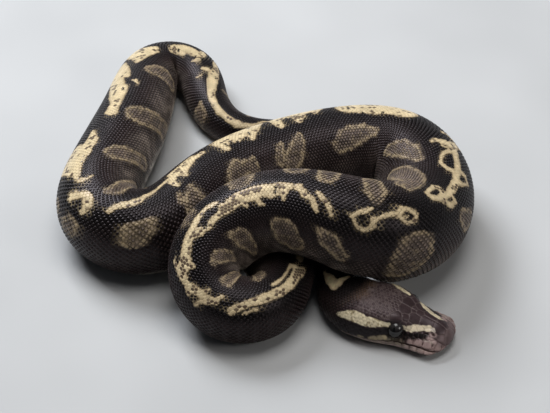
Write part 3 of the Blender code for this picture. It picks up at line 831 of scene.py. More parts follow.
scaleGloss = {"roughness": 0.27, "roughnessSpread": 0.20, "grain": 0.10, "grainDepth": 0.006, "cloud": 2.4,
              "specular": 0.25, "glint": (1.0, 0.84, 0.90, 1)}
skinGloss = {"roughness": 0.34, "roughnessSpread": 0.20, "grain": 0.16, "grainDepth": 0.02, "cloud": 1.1,
             "specular": 0.30, "glint": (1.0, 0.86, 0.90, 1)}


# colour from the piece's own tint, clouded by noise, over fine grain in the gloss and the bump
def hornFinish(name, look):
    finish = Finish(name)
    tint = finish.add("ShaderNodeAttribute", {"attribute_name": "tint"})
    cloud = finish.noise(look["cloud"])
    grain = finish.noise(look["grain"], 3.0)
    colour = finish.tinted(tint, 0.82 + 0.36 * cloud)
    shader = finish.add("ShaderNodeBsdfPrincipled", {}, {
        "Base Color": colour,
        "Roughness": look["roughness"] + look["roughnessSpread"] * (grain - 0.5),
        "Normal": finish.bump(grain, look["grainDepth"]),
        "Specular IOR Level": look["specular"], "Specular Tint": look["glint"], "IOR": 1.45})
    return addOutput(finish, shader)


def eyeFinish():
    finish = Finish("wet eye")
    tint = finish.add("ShaderNodeAttribute", {"attribute_name": "tint"})
    fleck = finish.noise(0.12, 3.0)
    shader = finish.add("ShaderNodeBsdfPrincipled", {}, {
        "Base Color": finish.tinted(tint, 0.7 + 0.6 * fleck),
        "Roughness": 0.05 + 0.03 * fleck, "IOR": 1.38, "Coat Weight": 0.35, "Coat Roughness": 0.02})
    return addOutput(finish, shader)


def floorFinish():
    finish = Finish("pale floor")
    cloud = finish.noise(60.0)
    grain = finish.noise(0.6)
    stops = [(0.3, (0.44, 0.445, 0.45, 1)), (0.7, (0.50, 0.505, 0.51, 1))]
    tone = finish.add("ShaderNodeValToRGB", {"stops": stops}, {"Fac": cloud})
    shader = finish.add("ShaderNodeBsdfPrincipled", {}, {
        "Base Color": tone, "Roughness": 0.85, "Normal": finish.bump(grain, 0.02, 0.3)})
    return addOutput(finish, shader)


# meshes
def addPiece(name, points, faces, material, tint, patch):
    mesh = bpy.data.meshes.new(name)
    mesh.vertices.add(len(points))
    mesh.vertices.foreach_set("co", (points * mm).astype(np.float32).ravel())
    corners = np.concatenate([group.ravel() for group in faces])
    sizes = np.concatenate([np.full(len(group), group.shape[1]) for group in faces])
    mesh.loops.add(len(corners))
    mesh.loops.foreach_set("vertex_index", corners.astype(np.int32))
    mesh.polygons.add(len(sizes))
    mesh.polygons.foreach_set("loop_start", (np.cumsum(sizes) - sizes).astype(np.int32))
    mesh.polygons.foreach_set("loop_total", sizes.astype(np.int32))
    mesh.update(calc_edges=True)
    mesh.shade_smooth()
    colour = mesh.attributes.new("tint", "FLOAT_COLOR", "POINT")
    rgba = np.ones((len(points), 4), np.float32)
    rgba[:, :3] = np.clip(tint, 0.002, 0.9)
    colour.data.foreach_set("color", rgba.ravel())
    places = patch if len(patch) == len(corners) else patch[corners]
    mesh.uv_layers.new(name="OFBake").data.foreach_set("uv", places.astype(np.float32).ravel())
    mesh.materials.append(material)
    piece = bpy.data.objects.new(name, mesh)
    bpy.context.collection.objects.link(piece)
    triangles = int((sizes - 2).sum())
    print(name, "has", triangles, "triangles")
    return piece


# the skin
skinForm = {
    "cell": 0.15, "capRows": 44, "headEnd": 34.0, "headSides": 288, "bodySides": 72, "bodyStep": 2.0,
    "headInset": 0.06,           # depth of the head's plates under the outline
    "plateGroove": 0.10, "plateWidth": 0.13, "plateDome": 0.05, "lipDome": 0.17,
    "lipGroove": 0.12, "lipWidth": 0.19,
    "lipReach": 1.9,             # how far from the mouth's line the grooves and domes are the lips'
    # distances over which the lips' relief and the plates end, and the coat of scales begins
    "lipEnd": (10, 14), "platesEnd": (24.0, 26.0), "coatStart": (21.0, 25.0),
    # a stroke over the eye, and how far it is raised
    "brow": [(11.0, 6.1, .3), (13, 6.2, .5), (15.4, 6.7, .3)], "browHeight": 0.10,
    # distance, and length round where the crown's pale seams end and dark ones begin
    "crownEdge": [(0, 3.0), (4, 2.6), (6.5, 2.9), (9.3, 4.6), (12, 6.0), (16, 7.0)],
    "between": (0.40, 0.95),     # tone of the skin between the scales, where they are dark and where cream
}
# head plates: distance, length round from the middle of the top, and size; each has a twin on the other hand
plates = {
    "snout": [(0.25, 0.0, .9), (2.9, 1.25, 1.1), (1.9, 3.3, .5)],
    "nose": [(3.5, 3.7, .5), (2.4, 4.9, .2)],
    "front crown": [(6.4, 1.5, 1.3), (9.0, 0.0, .45), (9.4, 2.5, 1.0), (10.5, 0.3, .2), (12.6, 1.3, 1.0)],
    "edge of crown": [(5.4, 3.3, .4), (7.5, 3.6, .4), (8.6, 4.7, .2), (9.8, 4.6, .4), (11.5, 3.6, .6),
                      (11.4, 5.4, .3)],
    "over the eye": [(13.5, 5.0, 1.2), (12.0, 6.6, .1)],
    "cheek": [(5.0, 4.9, .2), (6.4, 5.3, .2), (7.6, 5.7, .2), (8.9, 6.4, .2), (8.0, 6.8, .1),
              (10.1, 7.0, .2), (10.2, 8.2, .1), (11.2, 8.8, .1)],
    "round the eye": [(11.4, 7.6, .2), (12.0, 9.7, .2), (13.6, 10.3, .2), (15.1, 9.6, .2), (15.7, 8.3, .2),
                      (15.3, 6.9, .2)],
}
# rows of lip scales: distance of the first, step, height over the mouth's line and size
lipScales = {"upper": (1.7, 2.5, 1.05, .25), "lower": (1.2, 2.1, -1.0, .2)}
lipScalesEnd = 24.5
# distance, and height of the mouth's line over the floor
mouthHeight = [(0, 1.9), (2, 2.6), (4, 3.0), (6, 3.1), (12, 3.1), (16, 2.9), (21, 2.5), (24, 2.2)]
mouthGroove = {"depth": 0.42, "width": 0.13, "setBack": 0.16, "end": 24.0}
# pits: distance, length round, half length, half width, depth
pits = {"nostril": (3.75, 3.55, 0.55, 0.34, 0.55), "first lip pit": (1.0, 4.3, 0.14, 0.55, 0.30),
        "second lip pit": (2.95, 6.0, 0.20, 0.48, 0.28), "third lip pit": (5.45, 6.9, 0.20, 0.44, 0.25),
        "fourth lip pit": (7.95, 7.3, 0.17, 0.40, 0.20)}
# grids of small scales, behind the crown's plates down to a height over the mouth, and under the chin; none
# lies within clear of a plate
smallScales = {
    "crown": {"start": 14.6, "along": 0.86, "around": 0.80, "wobble": 0.12},
    "chin": {"start": 2.4, "along": 1.35, "around": 1.15, "wobble": 0.0},
    "end": 25.5, "clear": 0.72, "overMouth": 1.4, "underMouth": 1.9, "chinEdge": 0.9,
}
# place: distance from the snout, out from the middle, over the floor; the axis turns by lift and forward
eyeForm = {
    "place": (13.45, 5.15, 5.0), "radius": 2.35, "opening": 2.14, "lift": 24.0, "forward": 6.0,
    "dish": 0.55, "dishReach": 3.2, "clear": 0.24, "sides": 64, "rings": 42,
    "slit": (0.13, 0.52),        # half width and half height of the pupil, in radii
}


def headDistances():
    turn = np.linspace(0.045, math.pi / 2, skinForm["capRows"])
    cap = build["snoutRound"] * (1 - np.cos(turn))
    cell = skinForm["cell"]
    return np.concatenate([cap, np.arange(build["snoutRound"] + cell, skinForm["headEnd"], cell)])


def eyeAxis(hand):
    place, out, height = eyeForm["place"]
    at = np.array([place])
    middle = spineAt(at, "place")[0]
    side = spineAt(at, "side")[0] * hand
    ahead = spineAt(at, "ahead")[0]
    centre = middle + side * out
    centre[2] = height
    lift = math.radians(eyeForm["lift"])
    swing = math.radians(eyeForm["forward"])
    axis = side * math.cos(lift) * math.cos(swing) - ahead * math.sin(swing)
    axis[2] += math.sin(lift)
    return centre, axis / np.linalg.norm(axis), ahead


def mouthAt(distance):
    return readTable(mouthHeight, distance)


# the middle of every plate and small scale of the head, with its size, on both hands
def plateSeeds(rings):
    # length round to a height on the side of the head
    def aroundAt(place, height):
        i = int(np.argmin(np.abs(rings["distance"] - place)))
        half = len(rings["share"]) // 2
        below = int(np.argmax(rings["place"][i, half:, 2] < height))
        return float(rings["share"][half + below] * rings["left"][i])

    def crownSpan(place):
        return 0, aroundAt(place, mouthAt(place) + smallScales["overMouth"])

    def chinSpan(place):
        edge = aroundAt(place, max(mouthAt(place) - smallScales["underMouth"], 0.3))
        return edge + smallScales["chinEdge"], float(np.interp(place, rings["distance"], rings["left"]))

    seeds = [seed for group in plates.values() for seed in group]
    for start, step, rise, size in lipScales.values():
        for place in np.arange(start, lipScalesEnd, step):
            seeds.append((place, aroundAt(place, max(mouthAt(place) + rise, 0.45)), size))
    bigPlaces = np.array([seed[:2] for seed in seeds])
    bigSizes = np.array([seed[2] for seed in seeds])
    for grid, spanAt in ((smallScales["crown"], crownSpan), (smallScales["chin"], chinSpan)):
        columns = np.arange(grid["start"], smallScales["end"], grid["along"] / 2)
        for column, place in enumerate(columns, start=1):
            start, end = spanAt(place)
            offset = (column % 2) * grid["around"]
            for around in np.arange(start, end, 2 * grid["around"]) + offset:
                jitter = grid["wobble"] * math.sin(place * 37 + around * 91)
                seed = (place + jitter, around + 0.7 * jitter, 0.0)
                away = np.hypot(bigPlaces[:, 0] - seed[0], bigPlaces[:, 1] - seed[1]) - bigSizes
                if away.min() > smallScales["clear"]:
                    seeds.append(seed)
    return [(s, hand * w, size) for s, w, size in seeds for hand in ((1, -1) if w > 0 else (1,))]


# inward and outward moves of the head's skin, in mm: plates parted by grooves, the mouth, pits and brow
def headRelief(rings):
    distance = np.broadcast_to(rings["distance"][:, None], rings["turn"].shape)
    half = np.where(rings["share"][None, :] < 0, rings["right"][:, None], rings["left"][:, None])
    around = rings["share"][None, :] * half
    seeds = plateSeeds(rings)
    spots = np.array([(s, w) for s, w, _ in seeds])
    sizes = np.array([size for _, _, size in seeds], np.float32)
    row = np.clip(np.searchsorted(rings["distance"], spots[:, 0]), 0, len(rings["distance"]) - 1)
    share = spots[:, 1] / np.where(spots[:, 1] < 0, rings["right"][row], rings["left"][row])
    columns = len(rings["share"]) - 1
    column = np.clip(np.round((share + 1) / 2 * columns), 0, columns).astype(int)
    middles = rings["place"][row, column].astype(np.float32)
    points = rings["place"].reshape(-1, 3).astype(np.float32)
    first = np.empty(len(points), np.float32)
    second = np.empty(len(points), np.float32)
    which = np.empty(len(points), int)
    for start in range(0, len(points), 4000):
        block = slice(start, start + 4000)
        away = np.sqrt(((points[block, None, :] - middles[None, :, :]) ** 2).sum(axis=2)) - sizes[None, :]
        least = np.partition(away, 1, axis=1)[:, :2]
        first[block] = least[:, 0]
        second[block] = least[:, 1]
        which[block] = np.argmin(away, axis=1)
    parting = (second - first).reshape(distance.shape)
    plateId = which.reshape(distance.shape)
    fade = 1 - smoothStep(*skinForm["platesEnd"], distance)
    coatStart = smoothStep(*skinForm["coatStart"], distance)
    relief = -(skinForm["headInset"] + (coatDepth(distance) - skinForm["headInset"]) * coatStart)
    rise = rings["place"][..., 2] - mouthAt(distance)
    lips = np.exp(-(rise / skinForm["lipReach"]) ** 2) * (1 - smoothStep(*skinForm["lipEnd"], distance))
    groove = np.exp(-(parting / lerp(skinForm["plateWidth"], skinForm["lipWidth"], lips)) ** 2)
    relief = relief - fade * lerp(skinForm["plateGroove"], skinForm["lipGroove"], lips) * groove
    dome = lerp(skinForm["plateDome"], skinForm["lipDome"], lips)
    relief = relief + fade * dome * (1 - np.exp(-parting / 0.5))

    side = (np.abs(around) > 3.0) | (distance < 1.6)
    mouthLine = (1 - smoothStep(mouthGroove["end"] - 0.6, mouthGroove["end"] + 0.4, distance)) * side
    slit = np.exp(-(rise / mouthGroove["width"]) ** 2) * mouthLine
    relief = relief - mouthGroove["depth"] * slit
    relief = relief - mouthGroove["setBack"] * mouthLine * np.where(rise < 0, np.exp(rise / 1.6), 0)
    hollow = np.zeros(distance.shape)
    for place, over, long, wide, depth in pits.values():
        spot = np.exp(-(((distance - place) / long) ** 2 + ((np.abs(around) - over) / wide) ** 2) ** 2)
        relief = relief - depth * spot
        hollow = np.maximum(hollow, spot)
    browDepth = strokeDepth([skinForm["brow"]], distance, np.abs(around), 1.0)
    relief = relief + skinForm["browHeight"] * smoothStep(-0.5, 0.4, browDepth)
    marks = {"groove": groove * fade, "lips": lips, "slit": slit, "hollow": hollow, "plate": plateId,
             "around": around, "distance": distance, "parting": parting}
    return relief, marks


# thickness of the coat of scales, in mm: a least, and more for each mm of the body's radius
coatForm = {"least": 0.07, "perRadius": 0.008}


def coatDepth(distance):
    return coatForm["least"] + coatForm["perRadius"] * radiusAt(np.maximum(distance, 40))


# skin near an eye is dished, then carried just under the ball inside the opening
def settleEyes(points):
    for hand in (1, -1):
        centre, axis, _ = eyeAxis(hand)
        arm = points - centre
        up = arm @ axis
        off = np.linalg.norm(arm - up[..., None] * axis, axis=-1)
        front = up > 0
        fall = eyeForm["dish"] * (1 - smoothStep(eyeForm["opening"], eyeForm["dishReach"], off)) * front
        dished = points - fall[..., None] * axis
        outward = arm / np.maximum(np.linalg.norm(arm, axis=-1), 1e-6)[..., None]
        under = centre + outward * (eyeForm["radius"] - eyeForm["clear"])
        inside = (1 - smoothStep(eyeForm["opening"] - 0.05, eyeForm["opening"] + 0.2, off)) * front
        points = lerp(dished, under, inside[..., None])
    return points


# faces between two rings of the same count, and from a ring to one of half its count
def ringFaces(first, second, sides):
    k = np.arange(sides)
    return np.column_stack([first + k, first + (k + 1) % sides, second + (k + 1) % sides, second + k])


def halvingFaces(first, second, sides):
    k = np.arange(sides // 2)
    beside = (k + 1) % (sides // 2)
    one = np.column_stack([first + 2 * k, first + 2 * k + 1, second + k])
    two = np.column_stack([first + 2 * k + 1, second + beside, second + k])
    three = np.column_stack([first + 2 * k + 1, first + (2 * k + 2) % sides, second + beside])
    return np.concatenate([one, two, three])


# the head's rings with their relief, then the body's rings, halved twice in count; a pole closes each end
def makeSkin(material):
    sides = skinForm["headSides"]
    rings = ringsAt(headDistances(), sides // 2, 360)
    relief, marks = headRelief(rings)
    points = settleEyes(rings["place"] + relief[..., None] * facing(rings["place"]))[:, :-1]
    share = np.broadcast_to(rings["share"][None, :], rings["turn"].shape)
    colour = skinColour(marks, coatColour(marks["distance"], share, rings["turn"]))[:, :-1]
    rows = len(points)
    tip = outline(np.array([0.0]), np.zeros((1, 1)))[0]
    places = [tip, points.reshape(-1, 3)]
    tints = [colour[0, :1], colour.reshape(-1, 3)]
    patches = [np.array([[0.5, 1.0]]), np.column_stack([
        np.tile((share[0, :-1] + 1) / 2, rows), np.repeat(headPatch(rings["distance"]), sides)])]
    k = np.arange(sides)
    faces = [np.column_stack([0 * k, 1 + (k + 1) % sides, 1 + k])]
    faces += [ringFaces(1 + row * sides, 1 + (row + 1) * sides, sides) for row in range(rows - 1)]
    last = 1 + (rows - 1) * sides
    following = 1 + rows * sides
    start = skinForm["headEnd"]
    distances = [start + 0.7, start + 1.5, *np.arange(start + 3, tailEnd - 2.4, skinForm["bodyStep"]),
                 *(tailEnd - build["tailRound"] * np.array([1.3, 0.9, 0.6, 0.35, 0.15]))]
    for place in distances:
        fewer = max(sides // 2, skinForm["bodySides"])
        at = np.full(fewer, place)
        shares = -1 + 2 * np.arange(fewer) / fewer
        places.append(onHide("place", at, shares) - coatDepth(at)[:, None] * onHide("normal", at, shares))
        tints.append(betweenTone(coatColour(at, shares, onHide("turn", at, shares))))
        patches.append(np.column_stack([(shares + 1) / 2, bodyPatch(at)]))
        join = ringFaces if fewer == sides else halvingFaces
        faces.append(join(last, following, sides))
        last = following
        following += fewer
        sides = fewer
    places.append(spineAt(np.array([tailEnd - 0.1]), "place"))
    tints.append(tints[-1][:1])
    patches.append(np.array([[0.5, 0.0]]))
    k = np.arange(sides)
    faces.append(np.column_stack([last + k, last + (k + 1) % sides, 0 * k + following]))
    faces = [np.concatenate([group for group in faces if group.shape[1] == corners]) for corners in (3, 4)]
    return addPiece("skin", np.concatenate(places), faces, material, np.concatenate(tints),
                    wrapPatch(np.concatenate(patches), faces))


# the head takes the upper part of the skin's map and the body the lower
def headPatch(distance):
    return 0.4 + 0.6 * (1 - distance / skinForm["headEnd"])


def bodyPatch(distance):
    return 0.4 * (tailEnd - distance) / (tailEnd - skinForm["headEnd"])


# corners of the faces that close each ring lie at the map's right edge, not back at its left
def wrapPatch(patch, faces):
    corners = []
    for group in faces:
        spread = patch[group]
        across = spread[..., 0]
        crossing = (across.max(axis=1) - across.min(axis=1) > 0.5)[:, None] & (across < 0.5)
        spread[..., 0] = np.where(crossing, across + 1, across)
        corners.append(spread.reshape(-1, 2))
    return np.concatenate(corners)


# the skin between the scales: a share of their own tone, and most of it where they are cream
def betweenTone(colour):
    share = lerp(*skinForm["between"], smoothStep(0.06, 0.30, colour[..., :1]))
    return colour * share


# plates differ a little in tone; seams are pale on the crown and dark elsewhere; the mouth is dark, and the
# pits and nostrils are darkened with painted shade
def skinColour(marks, colour):
    tone = 0.86 + 0.28 * noiseAt(marks["plate"] * 7.13, marks["plate"] * 3.7, 31)
    colour = colour * tone[..., None]
    edge = readTable(skinForm["crownEdge"], marks["distance"])
    crown = 1 - smoothStep(edge - 0.6, edge + 0.6, np.abs(marks["around"]))
    pale = smoothStep(0.10, 0.30, colour[..., 0])
    colour = mixColour(colour, np.maximum(colour, headColours["seam"]), 0.62 * crown * marks["groove"])
    dark = 0.65 * (1 - crown) * (1 - 0.7 * pale) * marks["groove"]
    colour = mixColour(colour, np.minimum(colour, headColours["groove"]), dark)
    small = crown * smoothStep(13.5, 16, marks["distance"])
    fleck = smoothStep(0.45, 0.8, noiseAt(marks["plate"] * 3.31, marks["plate"] * 1.9, 33))
    colour = mixColour(colour, np.maximum(colour, headColours["fleck"]),
                       0.5 * small * fleck * smoothStep(0.2, 0.45, marks["parting"]))
    colour = mixColour(colour, headColours["lipSeam"], 0.45 * marks["lips"] * (1 - crown) * marks["groove"])
    colour = mixColour(colour, headColours["mouth"], 0.9 * marks["slit"])
    # painted shade in the pits and nostrils
    colour = mixColour(colour, headColours["pit"], 0.85 * smoothStep(0.3, 0.9, marks["hollow"]))
    return mixColour(colour, betweenTone(colour), smoothStep(23.0, 25, marks["distance"]))


# the scales of the body
scaleForm = {
    "start": 23.4, "end": 424.5,
    "pitch": 0.66, "pitchPerRadius": 0.024,      # length taken by a scale, and more for each mm of radius
    "hindPitch": 0.13, "hind": (286, 298, 352, 372),     # how much longer it is on the hind body, and where
    "rowSpacing": 0.82,          # distance between rows, in pitches
    "reach": 0.80,               # share of the half girth under the rows; the belly plates take the rest
    "halfLength": 0.50, "halfWidth": 0.66,   # in pitches, and in row spacings
    "creamSpread": 0.14,         # how much larger the cream scales are, so that they close up
    "squareness": 1.5,           # of the rounded diamond: |x|^n + |y|^n = 1
    "midRing": 0.70, "midHeight": 0.80,
    "edgeShade": (0.30, 0.98),   # tone of the edge where the scale is dark, and where it is cream; darker partly as painted shade where the edge sinks into the groove, and partly as the scale's own darker border
    "crestHighlight": 1.10, "slopeShade": 0.50,        # painted highlight and shade: how much paler the top and darker the sides are in a blotch
    "creamRim": 0.16, "creamFlat": 0.88,         # depth of a cream scale's edge, and how flat its top is
    "sink": 0.07,                # how far the edge lies under the skin
    "tilt": 0.22,                # how much higher the rear of a scale stands, as a share of its height
    "longest": 1.25, "shortest": 0.62,       # most and least stretch along the body, where it bends
    "creamLongest": 0.4,         # how much more the cream scales stretch
    "patch": 0.0015,
    "pieces": [(0, "scales_neck", 108), (108, "scales_fore", 168), (168, "scales_mid", 224),
               (224, "scales_rear", 286), (286, "scales_hind", 345), (345, "scales_tail", 430)],
}


def scalePitch(distance):
    rise, full, fall, gone = scaleForm["hind"]
    hind = smoothStep(rise, full, distance) - smoothStep(fall, gone, distance)
    plain = scaleForm["pitch"] + scaleForm["pitchPerRadius"] * radiusAt(np.maximum(distance, 40))
    return plain * (1 + scaleForm["hindPitch"] * hind)


# distance and share of every scale: rows beside each other are half a pitch out of step
def placeScales():
    fine = np.arange(scaleForm["start"], scaleForm["end"], 0.1)
    count = np.concatenate([[0], np.cumsum(0.1 / scalePitch(fine))])[:-1]
    most = int(scaleForm["reach"] * max(hide["left"].max(), hide["right"].max()) / 0.6)
    row, step = np.meshgrid(np.arange(-most, most + 1), np.arange(int(count[-1])))
    step = step + 0.5 * (np.abs(row) % 2)
    distance = np.interp(step, count, fine)
    around = row * scaleForm["rowSpacing"] * scalePitch(distance)
    half = handLength(distance, row)
    keep = np.abs(around) < scaleForm["reach"] * half - 0.3 * scalePitch(distance)
    wobble = 0.05 * scalePitch(distance) * (noiseAt(row * 1.7, step * 1.3, 41) - 0.5)
    return (distance + wobble)[keep], (around / half)[keep]


# one scale: a top point, and two rings of eight, part way down and under the skin, each a rounded diamond
def scalePattern():
    turn = np.arange(8) * math.pi / 4
    power = 2 / scaleForm["squareness"]
    x = np.sign(np.cos(turn)) * np.abs(np.cos(turn).round(9)) ** power
    y = np.sign(np.sin(turn)) * np.abs(np.sin(turn).round(9)) ** power
    inner = scaleForm["midRing"]
    x = np.concatenate([[0.08], x * inner, x])
    y = np.concatenate([[0.0], y * inner, y])
    level = np.concatenate([[1.0], np.full(8, scaleForm["midHeight"]), np.zeros(8)])
    k = np.arange(8)
    following = (k + 1) % 8
    top = np.column_stack([0 * k, 1 + following, 1 + k])
    sides = np.column_stack([1 + k, 1 + following, 9 + following, 9 + k])
    under = (9 + k)[None, :]
    return x, y, level, [top, sides, under]


def makeScales(material):
    distance, share = placeScales()
    x, y, level, pattern = scalePattern()
    pitch = scalePitch(distance)
    stretch = onHide("stretch", distance, share)
    middle = coatColour(distance, share, onHide("turn", distance, share))[:, 0]
    cream = smoothStep(0.25, 0.45, middle)
    longest = scaleForm["longest"] + scaleForm["creamLongest"] * cream
    halfLength = scaleForm["halfLength"] * pitch * np.clip(stretch, scaleForm["shortest"], longest) / stretch
    halfWidth = scaleForm["halfWidth"] * scaleForm["rowSpacing"] * pitch / handLength(distance, share)
    varied = 0.9 + 0.2 * noiseAt(distance * 9.1, share * 613.0, 51)
    spread = 1 + scaleForm["creamSpread"] * cream
    halfLength = halfLength * spread
    halfWidth = halfWidth * spread
    made = []
    for start, name, end in scaleForm["pieces"]:
        own = (distance >= start) & (distance < end)
        s = distance[own][:, None]
        at = s + halfLength[own][:, None] * x
        around = share[own][:, None] + halfWidth[own][:, None] * y
        wrapped = np.where(np.abs(around) > 1, around - 2 * np.sign(around), around)
        tint = coatColour(at, wrapped, onHide("turn", at, wrapped)) * varied[own][:, None, None]
        pale = smoothStep(0.10, 0.32, tint[..., 0])
        midToneShading = smoothStep(0.02, 0.06, tint[..., 0]) * (1 - pale)
        side = (level > 0) & (level < 1)
        depth = coatDepth(s)
        tilted = scaleForm["tilt"] * x * side * (1 - 0.7 * pale)
        tall = lerp(level, 1.0, scaleForm["creamFlat"] * pale) + tilted
        rim = lerp(-depth - scaleForm["sink"], -scaleForm["creamRim"] * depth, pale)
        height = np.where(level > 0, depth * (0.96 * tall - 1), rim)
        points = onHide("place", at, around) + height[..., None] * onHide("normal", at, around)
        # painted highlight and shade: on mid-tone scales the top is paler and the sides darker; the sunken
        # edge is darker, partly painted shade in the groove and partly the scale's own border
        shade = np.where(side, 1 - scaleForm["slopeShade"] * midToneShading, 1 + scaleForm["crestHighlight"] * midToneShading)
        shade = np.where(level > 0, shade, lerp(*scaleForm["edgeShade"], pale))
        tint = tint * shade[..., None]
        speck = speckDepth(s, share[own][:, None]) * smoothStep(0.6, 0.95, pale.min(axis=1, keepdims=True))
        tint = mixColour(tint, coat["creamSpeck"], 0.93 * speck * (level > 0))
        count = int(own.sum())
        base = (np.arange(count) * len(x))[:, None, None]
        faces = [(base + group[None]).reshape(-1, group.shape[1]) for group in pattern]
        low, high = float(s.min()), float(s.max())
        patch = np.stack([0.01 + 0.98 * (s - low) / (high - low) + scaleForm["patch"] * x,
                          0.01 + 0.98 * (share[own][:, None] + 1) / 2 + scaleForm["patch"] * y], axis=-1)
        made.append(addPiece(name, points.reshape(-1, 3), faces, material, tint.reshape(-1, 3),
                             patch.reshape(-1, 2)))
    print("scales:", len(distance))
    return made


# the belly's broad plates, single to the vent and in pairs behind it
bellyForm = {
    "start": 27.0, "end": 423.0, "vent": 390.0,
    "pitch": 1.55, "overlap": 0.1,       # a plate's length in scale pitches, and overlap in plates
    "edge": 0.795,               # share of the half girth where the plates begin
    "parting": 0.004,            # half the space between the two of a pair, as a share
    "columns": 12,
    "along": (0.0, 0.16, 0.88, 1.0),     # front edge, front top, rear top and rear edge
    # heights at those places, and tones there: the darker edges, where a plate dips under, are painted shade
    "height": (-0.3, 0.45, 0.92, -0.3), "tone": (0.5, 0.9, 1.0, 0.45),
    "mapLength": 430,
}


def makeBelly(material):
    fine = np.arange(bellyForm["start"], bellyForm["end"], 0.1)
    count = np.concatenate([[0], np.cumsum(0.1 / (bellyForm["pitch"] * scalePitch(fine)))])[:-1]
    start = np.interp(np.arange(int(count[-1])), count, fine)
    end = np.interp(np.arange(int(count[-1])) + 1 + bellyForm["overlap"], count, fine)
    paired = start > bellyForm["vent"]
    edge = bellyForm["edge"]
    parting = bellyForm["parting"]
    spans = [(start[~paired], end[~paired], edge, 2 - edge),
             (start[paired], end[paired], edge, 1 - parting),
             (start[paired], end[paired], 1 + parting, 2 - edge)]
    columns = bellyForm["columns"]
    wide = columns + 1
    across = np.linspace(0, 1, wide)
    along = np.array(bellyForm["along"])[None, :, None]
    height = np.array(bellyForm["height"])[None, :, None]
    shade = np.array(bellyForm["tone"])[None, :, None, None]
    taper = np.clip(np.minimum(across, 1 - across) / 0.06, 0, 1) ** 0.5
    c = np.arange(columns)
    strips = [np.column_stack([wide * r + c, wide * r + c + 1, wide * (r + 1) + c + 1, wide * (r + 1) + c])
              for r in range(3)]
    strips.append(np.column_stack([3 * wide + c, 3 * wide + c + 1, c + 1, c]))
    r = np.arange(4) * wide
    pattern = np.concatenate([*strips, r[None, :], (r + columns)[None, ::-1]])
    places = []
    tints = []
    patches = []
    faces = []
    total = 0
    for starts, ends, low, high in spans:
        if not len(starts):
            continue
        s = starts[:, None, None] + (ends - starts)[:, None, None] * along + 0 * across
        around = 0 * s + low + (high - low) * across
        around = np.where(around > 1, around - 2, around)
        depth = coatDepth(s)
        up = height * taper[None, None, :] - 0.3 * (1 - taper)[None, None, :]
        lifted = (depth * up - depth)[..., None] * onHide("normal", s, around)
        places.append((onHide("place", s, around) + lifted).reshape(-1, 3))
        fleck = smoothStep(0.62, 0.8, noiseAt(s / 3, around * 40, 61))
        colour = coatColour(s, around, onHide("turn", s, around))
        colour = mixColour(colour, coat["bellyFleck"], 0.6 * fleck)
        # painted shade: each plate is darker at its dipping front and rear edges
        tints.append((colour * shade).reshape(-1, 3))
        patch = np.stack([0.01 + 0.98 * s / bellyForm["mapLength"], 0.01 + 0.98 * (around % 2) / 2], axis=-1)
        patches.append(patch.reshape(-1, 2))
        base = total + np.arange(len(starts))[:, None, None] * 4 * wide
        faces.append((base + pattern[None]).reshape(-1, 4))
        total += len(starts) * 4 * wide
    return addPiece("belly_plates", np.concatenate(places), [np.concatenate(faces)], material,
                    np.concatenate(tints), np.concatenate(patches))


# the eyes
eyeColours = {
    "pupil": (0.003, 0.003, 0.003),
    "iris": (0.012, 0.010, 0.010),
    "irisTop": (0.040, 0.036, 0.036),
}


# a ball: rings of latitude from the front pole, on the axis that the eye looks along
def makeEye(name, hand, material):
    centre, axis, ahead = eyeAxis(hand)
    level = np.cross(axis, ahead)
    level /= np.linalg.norm(level)
    if level[2] < 0:
        level = -level
    along = np.cross(level, axis)
    sides = eyeForm["sides"]
    turns = np.arange(sides) * 2 * math.pi / sides
    falls = np.linspace(0, math.pi, eyeForm["rings"])[1:-1]
    fall, turn = np.meshgrid(falls, turns, indexing="ij")
    ring = (np.cos(fall)[..., None] * axis + np.sin(fall)[..., None]
            * (np.cos(turn)[..., None] * along + np.sin(turn)[..., None] * level))
    unit = np.concatenate([[axis], ring.reshape(-1, 3), [-axis]])
    points = centre + unit * eyeForm["radius"]
    k = np.arange(sides)
    beside = (k + 1) % sides
    starts = 1 + sides * np.arange(len(falls))
    final = starts[-1]
    caps = [np.column_stack([0 * k, 1 + k, 1 + beside]),
            np.column_stack([final + beside, final + k, 0 * k + final + sides])]
    bands = [np.column_stack([front + k, rear + k, rear + beside, front + beside])
             for front, rear in zip(starts[:-1], starts[1:])]
    faces = [np.concatenate(caps), np.concatenate(bands)]
    if hand < 0:
        faces = [group[:, ::-1] for group in faces]

    x = unit @ along
    y = unit @ level
    wide, tall = eyeForm["slit"]
    slit = (np.abs(x) / wide) ** 2 + (np.abs(y) / tall) ** 2
    ray = noiseAt(np.arctan2(y, x) * 9, np.hypot(x, y) * 3, 71)
    sky = smoothStep(0.1, 0.6, y) * (0.5 + 0.5 * ray)
    iris = mixColour(evenColour(y, eyeColours["iris"]), eyeColours["irisTop"], sky)
    tint = mixColour(iris, eyeColours["pupil"], 1 - smoothStep(0.8, 1.15, slit))
    spread = 0.45 * np.arccos(np.clip(unit @ axis, -1, 1)) / math.pi / np.maximum(np.hypot(x, y), 1e-6)
    patch = np.column_stack([0.5 + spread * x, 0.5 + spread * y])
    return addPiece(name, points, faces, material, tint, patch)


# everything together
finishes = {
    "skin": hornFinish("skin between the scales", skinGloss),
    "scales": hornFinish("scale gloss", scaleGloss),
    "eye": eyeFinish(),
    "floor": floorFinish(),
}
flesh = [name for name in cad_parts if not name.startswith("eye")]
print("skin")
skin = makeSkin(finishes["skin"])
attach(skin, "root")
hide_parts(*flesh)
for name, node, hand in (("left_eyeball", "eye_left", 1), ("right_eyeball", "eye_right", -1)):
    ball = makeEye(name, hand, finishes["eye"])
    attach(ball, "root")
    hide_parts(node)
print("scales")
for piece in [*makeScales(finishes["scales"]), makeBelly(finishes["scales"])]:
    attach(piece, "root")

